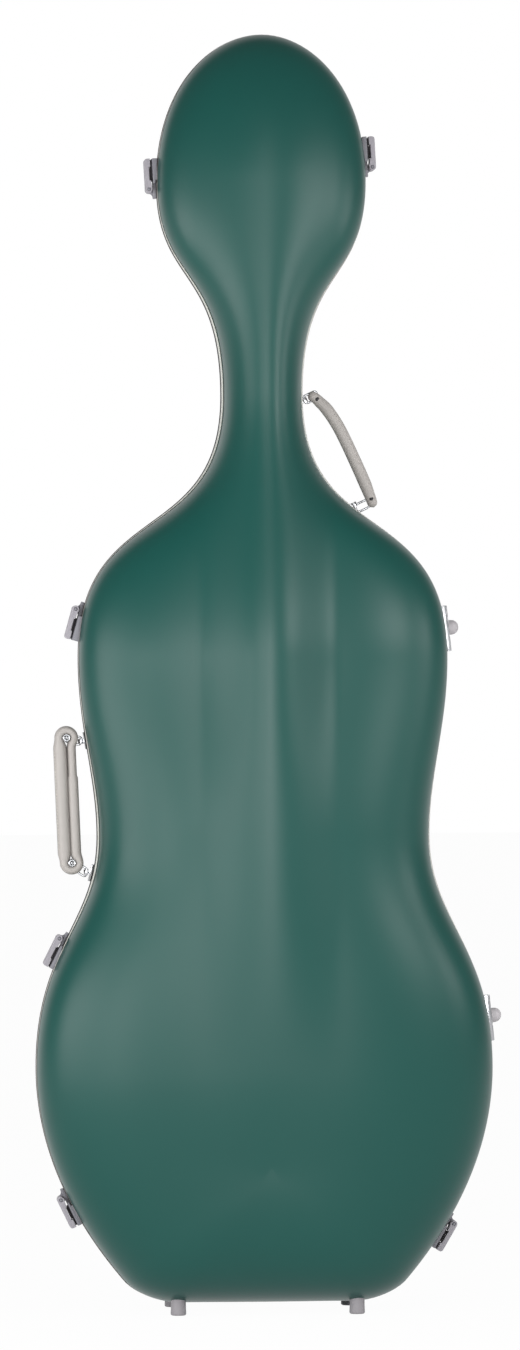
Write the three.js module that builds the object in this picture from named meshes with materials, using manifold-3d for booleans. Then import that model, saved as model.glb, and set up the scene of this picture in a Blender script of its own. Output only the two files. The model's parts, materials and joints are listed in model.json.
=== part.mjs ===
// Cello hard case, closed and standing on its feet.
// Millimetres, +Z up. The lid faces -Y, the back shell +Y, and the hinges are on the +X side.
// The seam between the two halves lies in the plane Y = 0 and the floor is Z = 0.
import * as THREE from "three";
import { mergeVertices } from "three/addons/utils/BufferGeometryUtils.js";
import Module from "manifold-3d";

// Outline of the shells, seen from the front: a width and a level for each turn of the curve
const overallHeight = 1345;
const headWidth = 219;
const neckWidth = 81;
const upperBoutWidth = 388;
const waistWidth = 346;
const lowerBoutWidth = 480;
const baseCornerWidth = 296;
const baseCornerLevel = 34;
const baseWidth = 184;
const baseLevel = 12;

// Levels as shares of the height, so that every turn and fitting keeps its place on a taller case
const heightShares = {
  head: 0.885,
  neck: 0.718,
  upperBout: 0.513,
  waist: 0.373,
  lowerBout: 0.192,
  baseCentre: 0.112,
  spineFoot: 0.141,
  upperHinge: 0.535,
  lowerHinge: 0.229,
  carryHandle: 0.396,
  neckHandle: 0.672,
  shoulderPad: 0.595,
  cradle: 0.691,
  bowClip: 0.159,
  bowPocket: 0.567,
};
const levelOf = (name) => heightShares[name] * overallHeight;
const headLevel = levelOf("head");
const neckLevel = levelOf("neck");
const upperBoutLevel = levelOf("upperBout");
const waistLevel = levelOf("waist");
const lowerBoutLevel = levelOf("lowerBout");
const baseCentreLevel = levelOf("baseCentre");

// Shares of each stretch that the outline's curve handles take, leaving and arriving
const crownShares = [0.46, 0.66];
const headNeckShares = [0.48, 0.62];
const shoulderShares = [0.6, 0.62];
const upperFlankShares = [0.4, 0.34];
const lowerFlankShares = [0.38, 0.53];
const baseFlankShares = [0.48, 0.16];
const baseCornerShares = [0.2, 0.4];
const baseCornerSlopeShare = 0.85;

// Depths of the two halves, from the seam to the crown of each stretch
const lidBaseDepth = 98;
const lidLowerDepth = 118;
const lidWaistDepth = 112;
const lidUpperDepth = 100;
const lidNeckDepth = 64;
const lidHeadDepth = 80;
const backBaseDepth = 118;
const backLowerDepth = 150;
const backUpperDepth = 140;
const backNeckDepth = 82;
const backHeadDepth = 96;

// The lid's raised spine, which carries the neck's front on down the body and fades out
const spineHalfWidth = 74;
const spineWaistRise = 12;
const spineUpperRise = 24;
const spineNeckRise = 22;
const spineHeadRise = 8;
const spineFootLevel = levelOf("spineFoot");

// Shell wall, soft lining and the gaps between pieces
const wall = 3;
const liningThickness = 8;
const seatGap = 0.3;
const overrun = 6;
const domeShare = 0.77;
const mergeDistance = 1e-3;

// Closing rims with their seal between them
const rimProud = 2.2;
const rimLeg = 11;
const rimWeb = 2.4;
const sealThickness = 2;
const sealProud = 3.1;
const wallStraight = 15;

// Draw latches
const latchLength = 36;
const latchHalfWidth = 10;
const latchHeel = 5.6;
const latchPlate = 2;
const latchEar = 2.4;
const leverThickness = 6.2;
const leverRound = 3.4;
const leverGap = 2.1;
const leverSlotDepth = 1.6;
const leverSlotShares = [0.36, 0.76];
const latchPinRadius = 1.6;
const latchEyeRadius = 3.8;
const latchPinGap = 0.35;

// Side hinges on one slanted axis, each with a domed foot beside it
const upperHingeLevel = levelOf("upperHinge");
const lowerHingeLevel = levelOf("lowerHinge");
const hingeLength = 48;
const hingeBarrelRadius = 2.6;
const hingePinRadius = 1.2;
const hingeLeafWidth = 9;
const hingeLeafThickness = 1.6;
const sideFootRadius = 7.8;
const sideFootReach = 18;
const sideFootDepth = 25;
const sideFootCrownShare = 0.95;

// Feet under the base
const footRadius = 8.2;
const footSpread = 188;
const footEdge = 2;
const lidFootDepth = 44;
const backFootDepth = 66;

// Carrying handle at the waist on the -X side
const carryLevel = levelOf("carryHandle");
const carrySpan = 140;
const carryDepth = 19;
const carryGripLength = 158;
const carryGripThickness = 14.5;
const carryStrapLength = 148;
const carryStrapThickness = 8.5;
const handleWidth = 24;
const carryReach = 36;

// Neck handle on the +X side, from the neck to the shoulder
const neckHandleLevel = levelOf("neckHandle");
const neckHandleSpan = 115;
const neckHandleRadius = 6.2;
const neckHandleBow = 6;
const neckHandleReach = 15;

// Wire loops that join the handles to their brackets
const loopWireRadius = 1.3;
const loopWidth = 8.4;
const loopCornerRadius = 2;
const bracketPlate = 2.2;
const bracketHalfLength = 9;
const bracketHalfDepth = 6.5;
const bracketNeckShare = 0.75;
const eyeWall = 1.5;
const eyeGap = 0.4;

// Soft supports inside the back shell
const basePadWidth = 92;
const basePadHeight = 62;
const basePadSpread = 190;
const shoulderPadWidth = 78;
const shoulderPadHeight = 92;
const shoulderPadLevel = levelOf("shoulderPad");
const shoulderPadSpread = 196;
const padFace = 34;
const cradleLevel = levelOf("cradle");
const cradleLength = 74;
const cradleFace = 22;
const cradleChannelRadius = 19;
const padRingShares = [1, 1, 0.92, 0.7, 0.4, 0];
const padRiseShares = [0, 0.55, 0.82, 0.94, 0.98, 1];
const padSquareShare = 0.5;

// Bow holders inside the lid
const bowSpread = 196;
const bowClipLevel = levelOf("bowClip");
const bowBossRadius = 9;
const bowBossRise = 15;
const bowToggleLength = 46;
const bowToggleWidth = 13;
const bowToggleThickness = 5;
const bowPinRadius = 2.4;
const bowPocketLevel = levelOf("bowPocket");
const bowPocketLength = 72;
const bowPocketWidth = 30;
const bowPocketRise = 20;
const bowPocketWall = 4;

// Facets round each kind of round piece, and along the outline's stretches
const facetCounts = [6, 6, 7, 3, 4, 4, 3, 1];
const barFacets = 12;
const boreFacets = 8;
const footFacets = 16;
const bossFacets = 20;
const wireFacets = 6;
const tubeFacets = 10;
const padFacets = 16;
const domeRings = 4;
const softFacets = 6;
const outlineSteps = 60;

const wasm = await Module();
wasm.setup();

const finish = (color, roughness, metalness = 0) =>
  new THREE.MeshStandardMaterial({ color, roughness, metalness });
const finishes = {
  shell: finish(0x4c7a72, 0.38),
  rim: finish(0xb9bab4, 0.42, 0.35),
  seal: finish(0x1b1c1c, 0.8),
  lining: finish(0x2f3438, 0.95),
  latch: finish(0xa9aaa6, 0.45, 0.2),
  latchBase: finish(0x6e706e, 0.5, 0.2),
  steel: finish(0xc4c6c8, 0.25, 0.9),
  foot: finish(0x777a7a, 0.7),
  leather: finish(0xb3aea4, 0.6),
  pad: finish(0x3b4146, 0.95),
  plastic: finish(0x2b2c2e, 0.5),
};

// A closed geometry as a solid, turned right side out if its faces point inwards
function solidOf(geometry) {
  const bare = new THREE.BufferGeometry();
  bare.setAttribute("position", geometry.getAttribute("position").clone());
  if (geometry.index) bare.setIndex(geometry.index.clone());
  const merged = mergeVertices(bare, mergeDistance / 10);
  const corners = [];
  const index = merged.index.array;
  for (let i = 0; i < index.length; i += 3) {
    const [a, b, c] = [index[i], index[i + 1], index[i + 2]];
    if (a !== b && b !== c && c !== a) corners.push(a, b, c);
  }
  const make = (order) =>
    new wasm.Manifold(
      new wasm.Mesh({
        numProp: 3,
        vertProperties: new Float32Array(merged.attributes.position.array),
        triVerts: new Uint32Array(order),
      }),
    );
  const made = make(corners);
  if (made.volume() >= 0) return made;
  const turned = [];
  for (let i = 0; i < corners.length; i += 3) {
    turned.push(corners[i], corners[i + 2], corners[i + 1]);
  }
  return make(turned);
}

function geometryOf(solid) {
  const mesh = solid.getMesh();
  const positions = new Float32Array(mesh.numVert * 3);
  for (let i = 0; i < mesh.numVert; i++) {
    const start = i * mesh.numProp;
    positions.set(mesh.vertProperties.subarray(start, start + 3), i * 3);
  }
  const geometry = new THREE.BufferGeometry();
  geometry.setAttribute("position", new THREE.BufferAttribute(positions, 3));
  geometry.setIndex(new THREE.BufferAttribute(mesh.triVerts, 1));
  geometry.computeVertexNormals();
  return geometry;
}

const part = new THREE.Group();
const lidGroup = new THREE.Group();
const backGroup = new THREE.Group();
part.add(backGroup, lidGroup);

function addMesh(group, name, shape, material) {
  const geometry = shape.isBufferGeometry ? shape : geometryOf(shape);
  const mesh = new THREE.Mesh(geometry, material);
  mesh.name = name;
  group.add(mesh);
  return mesh;
}

// Half of the outline, from the crown down the +X side to the middle of the base
function outlinePath() {
  const point = (width, level) => new THREE.Vector2(width / 2, level);
  const crown = point(0, overallHeight);
  const head = point(headWidth, headLevel);
  const neck = point(neckWidth, neckLevel);
  const upper = point(upperBoutWidth, upperBoutLevel);
  const waist = point(waistWidth, waistLevel);
  const lower = point(lowerBoutWidth, lowerBoutLevel);
  const corner = point(baseCornerWidth, baseCornerLevel);
  const base = point(baseWidth, baseLevel);
  const path = new THREE.Path();
  const flank = (from, to, [leaveShare, arriveShare]) => {
    const drop = from.y - to.y;
    const leave = from.y - leaveShare * drop;
    path.bezierCurveTo(from.x, leave, to.x, to.y + arriveShare * drop, to.x, to.y);
  };
  path.moveTo(crown.x, crown.y);
  const crownRise = crown.y - head.y;
  path.bezierCurveTo(
    crownShares[0] * head.x,
    crown.y,
    head.x,
    head.y + crownShares[1] * crownRise,
    head.x,
    head.y,
  );
  flank(head, neck, headNeckShares);
  flank(neck, upper, shoulderShares);
  flank(upper, waist, upperFlankShares);
  flank(waist, lower, lowerFlankShares);
  const baseDrop = lower.y - corner.y;
  const arrive = baseFlankShares[1] * baseDrop;
  path.bezierCurveTo(
    lower.x,
    lower.y - baseFlankShares[0] * baseDrop,
    corner.x + baseCornerSlopeShare * arrive,
    corner.y + arrive,
    corner.x,
    corner.y,
  );
  const cornerRun = corner.x - base.x;
  const leave = baseCornerShares[0] * cornerRun;
  path.bezierCurveTo(
    corner.x - baseCornerSlopeShare * leave,
    corner.y - leave,
    base.x + baseCornerShares[1] * cornerRun,
    base.y,
    base.x,
    base.y,
  );
  path.lineTo(0, base.y);
  return path;
}

// The whole outline as places with their outward normals, crown first, then clockwise
function outlineLoop() {
  const right = [];
  outlinePath().curves.forEach((curve, index) => {
    for (let k = 0; k < facetCounts[index]; k++) {
      const place = curve.getPoint(k / facetCounts[index]);
      const tangent = curve.getTangent(k / facetCounts[index]);
      right.push({ x: place.x, z: place.y, nx: -tangent.y, nz: tangent.x });
    }
  });
  right[0] = { x: 0, z: overallHeight, nx: 0, nz: 1 };
  const bottom = { x: 0, z: baseLevel, nx: 0, nz: -1 };
  const left = right
    .slice(1)
    .reverse()
    .map(({ x, z, nx, nz }) => ({ x: -x, z, nx: -nx, nz }));
  return [...right, bottom, ...left];
}

const loop = outlineLoop();

// Smooth run through stations of [level, value], level between the stations
function valueAt(level, stations) {
  if (level <= stations[0][0]) return stations[0][1];
  for (let k = 1; k < stations.length; k++) {
    const [high, value] = stations[k];
    const [low, before] = stations[k - 1];
    if (level <= high) {
      const share = (level - low) / (high - low);
      return before + (value - before) * share * share * (3 - 2 * share);
    }
  }
  return stations[stations.length - 1][1];
}

const lidStations = [
  [baseLevel, lidBaseDepth],
  [lowerBoutLevel, lidLowerDepth],
  [waistLevel, lidWaistDepth],
  [upperBoutLevel, lidUpperDepth],
  [neckLevel, lidNeckDepth],
  [headLevel, lidHeadDepth],
];
const backStations = [
  [baseLevel, backBaseDepth],
  [lowerBoutLevel, backLowerDepth],
  [upperBoutLevel, backUpperDepth],
  [neckLevel, backNeckDepth],
  [headLevel, backHeadDepth],
];
const spineStations = [
  [spineFootLevel, 0],
  [waistLevel, spineWaistRise],
  [upperBoutLevel, spineUpperRise],
  [neckLevel, spineNeckRise],
  [headLevel, spineHeadRise],
  [overallHeight, 0],
];
const halves = {
  lid: {
    side: -1,
    stations: lidStations,
    spine: true,
    ringShares: [0, 0.2, 0.4, 0.6, 0.78, 0.9, 1],
    innerShares: [0, 0.4, 0.78, 0.9, 1],
  },
  back: {
    side: 1,
    stations: backStations,
    spine: false,
    ringShares: [0, 0.25, 0.5, 0.75, 1],
    innerShares: [0, 0.5, 1],
  },
};

// One half as a full body: the outline set in by inset, a straight wall,
// then rounded rings that close on the middle line
function halfBody(half, inset, capDepth, ringShares = half.ringShares) {
  const { side, stations, spine } = half;
  const rim = loop.map(({ x, z, nx, nz }) => ({ x: x - nx * inset, z: z - nz * inset }));
  const middle = rim.map(({ z }) => Math.min(Math.max(z, baseCentreLevel), headLevel));
  const rows = [];
  rows.push(rim.map((_, i) => [0, side * capDepth, middle[i]]));
  rows.push(rim.map(({ x, z }) => [x, side * capDepth, z]));
  for (const ringShare of ringShares) {
    const turn = (ringShare * Math.PI) / 2;
    const across = ringShare === 1 ? 0 : Math.cos(turn) ** domeShare;
    const rise = Math.sin(turn) ** domeShare;
    rows.push(
      rim.map(({ x, z }, i) => {
        const depth = valueAt(middle[i], stations) - inset;
        const px = x * across;
        const pz = middle[i] + (z - middle[i]) * across;
        const fall = Math.min(Math.abs(px) / spineHalfWidth, 1);
        const bell = (1 - fall * fall) ** 2;
        const ridge = spine ? valueAt(pz, spineStations) * bell * rise : 0;
        return [px, side * (wallStraight + (depth - wallStraight) * rise + ridge), pz];
      }),
    );
  }
  return solidOf(gridGeometry(rows, true, false));
}

// Rows of points as a skin; rows may close on themselves and the last row may join the first
function gridGeometry(rows, closedRow, closedColumn) {
  const count = rows[0].length;
  const positions = rows.flat(2);
  const index = [];
  const lastRow = closedColumn ? rows.length : rows.length - 1;
  const lastPoint = closedRow ? count : count - 1;
  for (let r = 0; r < lastRow; r++) {
    for (let i = 0; i < lastPoint; i++) {
      const a = r * count + i;
      const b = r * count + ((i + 1) % count);
      const c = ((r + 1) % rows.length) * count + ((i + 1) % count);
      const d = ((r + 1) % rows.length) * count + i;
      index.push(a, b, c, a, c, d);
    }
  }
  const geometry = new THREE.BufferGeometry();
  geometry.setAttribute("position", new THREE.Float32BufferAttribute(positions, 3));
  geometry.setIndex(index);
  return geometry;
}

// A band round the outline: each profile corner is an offset outwards and a depth
function outlineBand(profile) {
  const rows = profile.map(([offset, depth]) =>
    loop.map(({ x, z, nx, nz }) => [x + nx * offset, depth, z + nz * offset]),
  );
  return solidOf(gridGeometry(rows, true, true));
}

// A full plate with the outline's shape, grown by an offset, between two depths
function outlinePlate(offset, low, high) {
  const rim = loop.map(({ x, z, nx, nz }) => ({ x: x + nx * offset, z: z + nz * offset }));
  const middle = rim.map(({ z }) => Math.min(Math.max(z, baseCentreLevel), headLevel));
  const rows = [
    rim.map((_, i) => [0, low, middle[i]]),
    rim.map(({ x, z }) => [x, low, z]),
    rim.map(({ x, z }) => [x, high, z]),
    rim.map((_, i) => [0, high, middle[i]]),
  ];
  return solidOf(gridGeometry(rows, true, false));
}

// Seam, from the lid rim's face to the back rim's face
const seamHalf = sealThickness / 2 + seatGap;
const shellEdge = seamHalf + rimWeb + seatGap;
const rimInner = -wall - seatGap;

const envelope = {
  lid: halfBody(halves.lid, -seatGap, 0),
  back: halfBody(halves.back, -seatGap, 0),
  rims: outlinePlate(rimProud + seatGap, -wallStraight, wallStraight),
};
const cavityInset = wall + liningThickness + 2 * seatGap;
const cavity = {
  lid: halfBody(halves.lid, cavityInset, 0, halves.lid.innerShares),
  back: halfBody(halves.back, cavityInset, 0, halves.back.innerShares),
};

function shellOf(half, inset, thickness, innerShares) {
  const outer = halfBody(half, inset, shellEdge);
  const inner = halfBody(half, inset + thickness, shellEdge - overrun, innerShares);
  return outer.subtract(inner);
}

addMesh(lidGroup, "lid_shell", shellOf(halves.lid, 0, wall), finishes.shell);
addMesh(backGroup, "back_shell", shellOf(halves.back, 0, wall), finishes.shell);
const liningInset = wall + seatGap;
for (const [name, group] of [
  ["lid", lidGroup],
  ["back", backGroup],
]) {
  const half = halves[name];
  const lining = shellOf(half, liningInset, liningThickness, half.innerShares);
  addMesh(group, `${name}_lining`, lining, finishes.lining);
}

// Rim profile: a web under the shell's edge and a leg up its outside
function rimProfile(side) {
  const face = side * seamHalf;
  const web = side * (seamHalf + rimWeb);
  const top = side * (seamHalf + rimLeg);
  return [
    [rimInner, face],
    [rimProud, face],
    [rimProud, top],
    [seatGap, top],
    [seatGap, web],
    [rimInner, web],
  ];
}
const sealHalf = sealThickness / 2;
const sealProfile = [
  [rimInner, -sealHalf],
  [sealProud, -sealHalf],
  [sealProud, sealHalf],
  [rimInner, sealHalf],
];

// Width and direction of a run of points, crown first, at a level
function runAt(points, level) {
  const next = points.findIndex(({ y }) => y <= level);
  const step = new THREE.Vector2().subVectors(points[next - 1], points[next]);
  const width = points[next].x + (step.x * (level - points[next].y)) / step.y;
  return { width, step: step.normalize() };
}

// Place on the +X half of the outline at a level, outside both the curve and the shell's facets
const fineOutline = outlinePath().curves.flatMap((curve) => curve.getPoints(outlineSteps));
const facetOutline = loop.slice(0, loop.length / 2 + 1).map(({ x, z }) => ({ x, y: z }));
function outlineAt(level) {
  const { width, step } = runAt(fineOutline, level);
  const facetWidth = runAt(facetOutline, level).width;
  return { x: Math.max(width, facetWidth), z: level, nx: step.y, nz: -step.x };
}

// A flat frame on the outline: out points away from the case and along runs up or down its edge
function frameAt(level, handSide, upwards) {
  const { x, z, nx, nz } = outlineAt(level);
  const origin = new THREE.Vector3(handSide * x, 0, z);
  const out = new THREE.Vector3(handSide * nx, 0, nz).normalize();
  const along = new THREE.Vector3(-out.z, 0, out.x);
  if (along.z > 0 !== upwards) along.negate();
  return { origin, out, along };
}

// Points of a closed run in one turning sense, without those that repeat their neighbour
function cleanRun(points, clockwise) {
  const kept = points.filter((point, i) => {
    const before = points[(i + points.length - 1) % points.length];
    return point.distanceTo(before) > mergeDistance;
  });
  return THREE.ShapeUtils.isClockWise(kept) === clockwise ? kept : kept.reverse();
}

// A drawn section in a frame (along, out), extruded in Y between two depths
function sectionSolid(frame, drawn, low, high, curveSegments = 5) {
  const { shape: edge, holes } = drawn.extractPoints(curveSegments);
  const shape = new THREE.Shape(cleanRun(edge, false));
  shape.holes = holes.map((hole) => new THREE.Path(cleanRun(hole, true)));
  const geometry = new THREE.ExtrudeGeometry(shape, { depth: high - low, bevelEnabled: false });
  const { origin, out, along } = frame;
  const across = new THREE.Vector3().crossVectors(along, out);
  const basis = new THREE.Matrix4().makeBasis(along, out, across);
  const start = across.y > 0 ? low : -high;
  geometry.translate(0, 0, start);
  geometry.applyMatrix4(basis);
  geometry.translate(origin.x, origin.y, origin.z);
  return solidOf(geometry);
}

function rectangle(left, bottom, right, top) {
  const shape = new THREE.Shape();
  shape.moveTo(left, bottom);
  shape.lineTo(right, bottom);
  shape.lineTo(right, top);
  shape.lineTo(left, top);
  shape.closePath();
  return shape;
}

function disc(x, y, radius) {
  const shape = new THREE.Shape();
  shape.absarc(x, y, radius, 0, 2 * Math.PI, false);
  return shape;
}

// A round bar or ball turned about an axis from a start point
function turned(profile, start, direction, segments) {
  const geometry = new THREE.LatheGeometry(
    profile.map(([radius, height]) => new THREE.Vector2(radius, height)),
    segments,
  );
  const up = new THREE.Vector3(0, 1, 0);
  const turn = new THREE.Quaternion().setFromUnitVectors(up, direction.clone().normalize());
  geometry.applyQuaternion(turn);
  geometry.translate(start.x, start.y, start.z);
  return solidOf(geometry);
}

function bar(radius, start, direction, length, segments = barFacets) {
  const profile = [
    [0, 0],
    [radius, 0],
    [radius, length],
    [0, length],
  ];
  return turned(profile, start, direction, segments);
}

// Latches: the pivot's share of the height, its hand side, and which way the lever runs from it
const latches = {
  head_left: { levelShare: 0.877, handSide: -1, upwards: true },
  head_right: { levelShare: 0.894, handSide: 1, upwards: true },
  upper_left: { levelShare: 0.552, handSide: -1, upwards: false },
  lower_left: { levelShare: 0.293, handSide: -1, upwards: false },
  base_left: { levelShare: 0.094, handSide: -1, upwards: false },
  base_right: { levelShare: 0.073, handSide: 1, upwards: false },
};
const plateFoot = rimProud - overrun;
const plateTop = rimProud + seatGap + latchPlate;
const pinHeight = plateTop + latchPinGap + latchEyeRadius;
const leverTop = pinHeight + latchEyeRadius;
const leverFoot = leverTop - leverThickness;
const keeperTop = leverFoot - leverGap;
const pinAt = latchEyeRadius;

function latchBase(frame) {
  const plateShape = rectangle(-latchHeel, plateFoot, latchLength, plateTop);
  const plate = sectionSolid(frame, plateShape, seamHalf, latchHalfWidth);
  const ear = new THREE.Shape();
  ear.moveTo(-latchHeel, plateFoot);
  ear.lineTo(pinAt + latchEyeRadius, plateFoot);
  ear.lineTo(pinAt + latchEyeRadius, pinHeight);
  ear.absarc(pinAt, pinHeight, latchEyeRadius, 0, Math.PI, false);
  ear.quadraticCurveTo(pinAt - latchEyeRadius, plateTop, -latchHeel, plateTop);
  ear.closePath();
  const earLow = latchHalfWidth - seatGap;
  const back = sectionSolid(frame, ear, earLow, earLow + latchEar);
  const pin = sectionSolid(
    frame,
    disc(pinAt, pinHeight, latchPinRadius),
    -latchHalfWidth - seatGap,
    latchHalfWidth,
  );
  return plate.add(back).add(pin).subtract(envelope.rims);
}

function latchLever(frame) {
  const tip = latchLength;
  const shape = new THREE.Shape();
  const eyeFoot = pinHeight - latchEyeRadius;
  shape.moveTo(pinAt, eyeFoot);
  shape.absarc(pinAt, pinHeight, latchEyeRadius, -Math.PI / 2, Math.PI / 2, true);
  shape.lineTo(tip - leverRound, leverTop);
  shape.quadraticCurveTo(tip, leverTop, tip, leverTop - leverRound);
  shape.lineTo(tip, leverFoot);
  shape.lineTo(pinAt + 2 * latchEyeRadius, leverFoot);
  shape.quadraticCurveTo(pinAt + latchEyeRadius, leverFoot, pinAt, eyeFoot);
  const hole = new THREE.Path();
  hole.absarc(pinAt, pinHeight, latchPinRadius + latchPinGap, 0, 2 * Math.PI, true);
  shape.holes.push(hole);
  const low = -latchHalfWidth;
  const high = latchHalfWidth - 2 * seatGap;
  const body = sectionSolid(frame, shape, low, high);
  const [slotStart, slotEnd] = leverSlotShares.map((share) => share * latchLength);
  const slotTop = leverFoot + leverSlotDepth;
  const slotShape = rectangle(slotStart, leverFoot - overrun, slotEnd, slotTop);
  return body.subtract(sectionSolid(frame, slotShape, low - overrun, high + overrun));
}

function latchKeeper(frame) {
  const start = pinAt + latchEyeRadius + leverGap;
  const shape = rectangle(start, plateFoot, latchLength, keeperTop);
  return sectionSolid(frame, shape, -latchHalfWidth, -seamHalf).subtract(envelope.rims);
}

// Swing axes: a point, the axis direction and the way out from the case
const pivots = {};
for (const [place, { levelShare, handSide, upwards }] of Object.entries(latches)) {
  const frame = frameAt(levelShare * overallHeight, handSide, upwards);
  addMesh(backGroup, `latch_base_${place}`, latchBase(frame), finishes.latchBase);
  addMesh(lidGroup, `latch_keeper_${place}`, latchKeeper(frame), finishes.latchBase);
  const leverGroup = new THREE.Group();
  part.add(leverGroup);
  addMesh(leverGroup, `latch_lever_${place}`, latchLever(frame), finishes.latch);
  const at = frame.origin.clone().addScaledVector(frame.along, pinAt);
  at.addScaledVector(frame.out, pinHeight);
  pivots[`lever_${place}`] = { at, along: frame.along, out: frame.out };
}

// Hinges: the axis runs through both barrels at the seal's outer edge, so the rims are let in
const barrelStand = sealProud;
const hingeAt = (level) => {
  const { x, nx } = outlineAt(level);
  return new THREE.Vector3(x + barrelStand / nx, 0, level);
};
const upperHinge = hingeAt(upperHingeLevel);
const lowerHinge = hingeAt(lowerHingeLevel);
const hingeAxis = upperHinge.clone().sub(lowerHinge).normalize();
const hingeOut = new THREE.Vector3(hingeAxis.z, 0, -hingeAxis.x);
pivots.lid = { at: lowerHinge, along: hingeAxis, out: hingeOut };

function hingeKnuckles(centre, spans) {
  return spans.map(([from, to]) => {
    const start = centre.clone().addScaledVector(hingeAxis, from);
    const outer = bar(hingeBarrelRadius, start, hingeAxis, to - from);
    const under = centre.clone().addScaledVector(hingeAxis, from - overrun);
    const boreLength = to - from + 2 * overrun;
    const bore = bar(hingePinRadius + seatGap, under, hingeAxis, boreLength, boreFacets);
    return [outer, bore];
  });
}

function hingeLeaf(centre, side, spans, otherSpans) {
  const frame = { origin: centre, out: hingeOut, along: hingeAxis };
  const half = hingeLength / 2;
  const low = side > 0 ? seamHalf : -seamHalf - hingeLeafWidth;
  const plateFootAt = rimProud + seatGap - barrelStand;
  const plateTopAt = plateFootAt + hingeLeafThickness;
  const plateShape = rectangle(-half, -barrelStand - overrun, half, plateTopAt);
  let leaf = sectionSolid(frame, plateShape, low, low + hingeLeafWidth).subtract(envelope.rims);
  for (const [from, to] of otherSpans) {
    const start = centre.clone().addScaledVector(hingeAxis, from - 2 * seatGap);
    const clearLength = to - from + 4 * seatGap;
    leaf = leaf.subtract(bar(hingeBarrelRadius + seatGap, start, hingeAxis, clearLength));
  }
  for (const [from, to] of spans) {
    const webShape = rectangle(from, plateFootAt, to, plateTopAt);
    const webReach = seamHalf + hingeLeafWidth / 2;
    const [webLow, webHigh] = side > 0 ? [0, webReach] : [-webReach, 0];
    leaf = leaf.add(sectionSolid(frame, webShape, webLow, webHigh));
  }
  const knuckles = hingeKnuckles(centre, spans);
  for (const [outer] of knuckles) leaf = leaf.add(outer);
  for (const [, bore] of knuckles) leaf = leaf.subtract(bore);
  return leaf;
}

const thirdLength = hingeLength / 3;
const backSpans = [
  [-hingeLength / 2, -thirdLength / 2 - seatGap],
  [thirdLength / 2 + seatGap, hingeLength / 2],
];
const lidSpans = [[-thirdLength / 2 + seatGap, thirdLength / 2 - seatGap]];
for (const [place, centre] of Object.entries({ upper: upperHinge, lower: lowerHinge })) {
  const backLeaf = hingeLeaf(centre, 1, backSpans, lidSpans);
  const lidLeaf = hingeLeaf(centre, -1, lidSpans, backSpans);
  addMesh(backGroup, `hinge_back_leaf_${place}`, backLeaf, finishes.steel);
  addMesh(lidGroup, `hinge_lid_leaf_${place}`, lidLeaf, finishes.steel);
  const pinStart = centre.clone().addScaledVector(hingeAxis, -hingeLength / 2 - seatGap);
  const pin = bar(hingePinRadius, pinStart, hingeAxis, hingeLength + 2 * seatGap);
  addMesh(backGroup, `hinge_pin_${place}`, pin, finishes.steel);
}

// The rims and the seal, let in round the hinges' barrels
function letInHinges(band) {
  let cut = band;
  for (const centre of [upperHinge, lowerHinge]) {
    const start = centre.clone().addScaledVector(hingeAxis, -hingeLength / 2 - 2 * seatGap);
    const length = hingeLength + 4 * seatGap;
    cut = cut.subtract(bar(hingeBarrelRadius + seatGap, start, hingeAxis, length));
  }
  return cut;
}
addMesh(lidGroup, "lid_rim", letInHinges(outlineBand(rimProfile(-1))), finishes.rim);
addMesh(backGroup, "back_rim", letInHinges(outlineBand(rimProfile(1))), finishes.rim);
addMesh(backGroup, "seam_seal", letInHinges(outlineBand(sealProfile)), finishes.seal);

// Domed side feet on the back shell beside the hinges
const domeProfile = (radius, length) => {
  const crown = radius * sideFootCrownShare;
  const points = [
    [0, 0],
    [radius, 0],
    [radius, length - crown],
  ];
  for (let k = 1; k < domeRings; k++) {
    const turn = (k * Math.PI) / (2 * domeRings);
    points.push([radius * Math.cos(turn), length - crown * (1 - Math.sin(turn))]);
  }
  points.push([0, length]);
  return points;
};
const sideFootLevels = { upper: upperHingeLevel, lower: lowerHingeLevel };
for (const [place, level] of Object.entries(sideFootLevels)) {
  const { origin, out } = frameAt(level, 1, true);
  const start = origin.clone().addScaledVector(out, -wall - overrun);
  start.y = sideFootDepth;
  const domeLength = sideFootReach + wall + overrun;
  const dome = turned(domeProfile(sideFootRadius, domeLength), start, out, footFacets);
  addMesh(backGroup, `side_foot_${place}`, dome.subtract(envelope.back), finishes.foot);
}

// Feet under the base: a rounded stub with a flat tread, cut to the shell it stands under
const footTop = baseLevel + backFootDepth;
for (const [group, half, depth] of [
  [lidGroup, "lid", -lidFootDepth],
  [backGroup, "back", backFootDepth],
]) {
  for (const [place, handSide] of Object.entries({ left: -1, right: 1 })) {
    const profile = [
      [0, 0],
      [footRadius - footEdge, 0],
      [footRadius, footEdge],
      [footRadius, footTop],
      [0, footTop],
    ];
    const start = new THREE.Vector3((handSide * footSpread) / 2, depth, 0);
    const foot = turned(profile, start, new THREE.Vector3(0, 0, 1), footFacets);
    addMesh(group, `${half}_foot_${place}`, foot.subtract(envelope[half]), finishes.foot);
  }
}

// A handle's frame: the swing axis runs between its two bracket eyes
const eyeRadius = loopWireRadius + eyeGap + eyeWall;
const eyeStand = bracketPlate + eyeRadius + seatGap;
function handleFrame(upperLevel, lowerLevel, handSide, depth) {
  const ends = [upperLevel, lowerLevel].map((level) => {
    const { origin, out } = frameAt(level, handSide, true);
    const eye = origin.clone().addScaledVector(out, eyeStand);
    eye.y = depth;
    return eye;
  });
  const along = ends[0].clone().sub(ends[1]).normalize();
  const out = new THREE.Vector3(handSide * along.z, 0, -handSide * along.x);
  return { ends, along, out: out.normalize(), depth };
}

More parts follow.
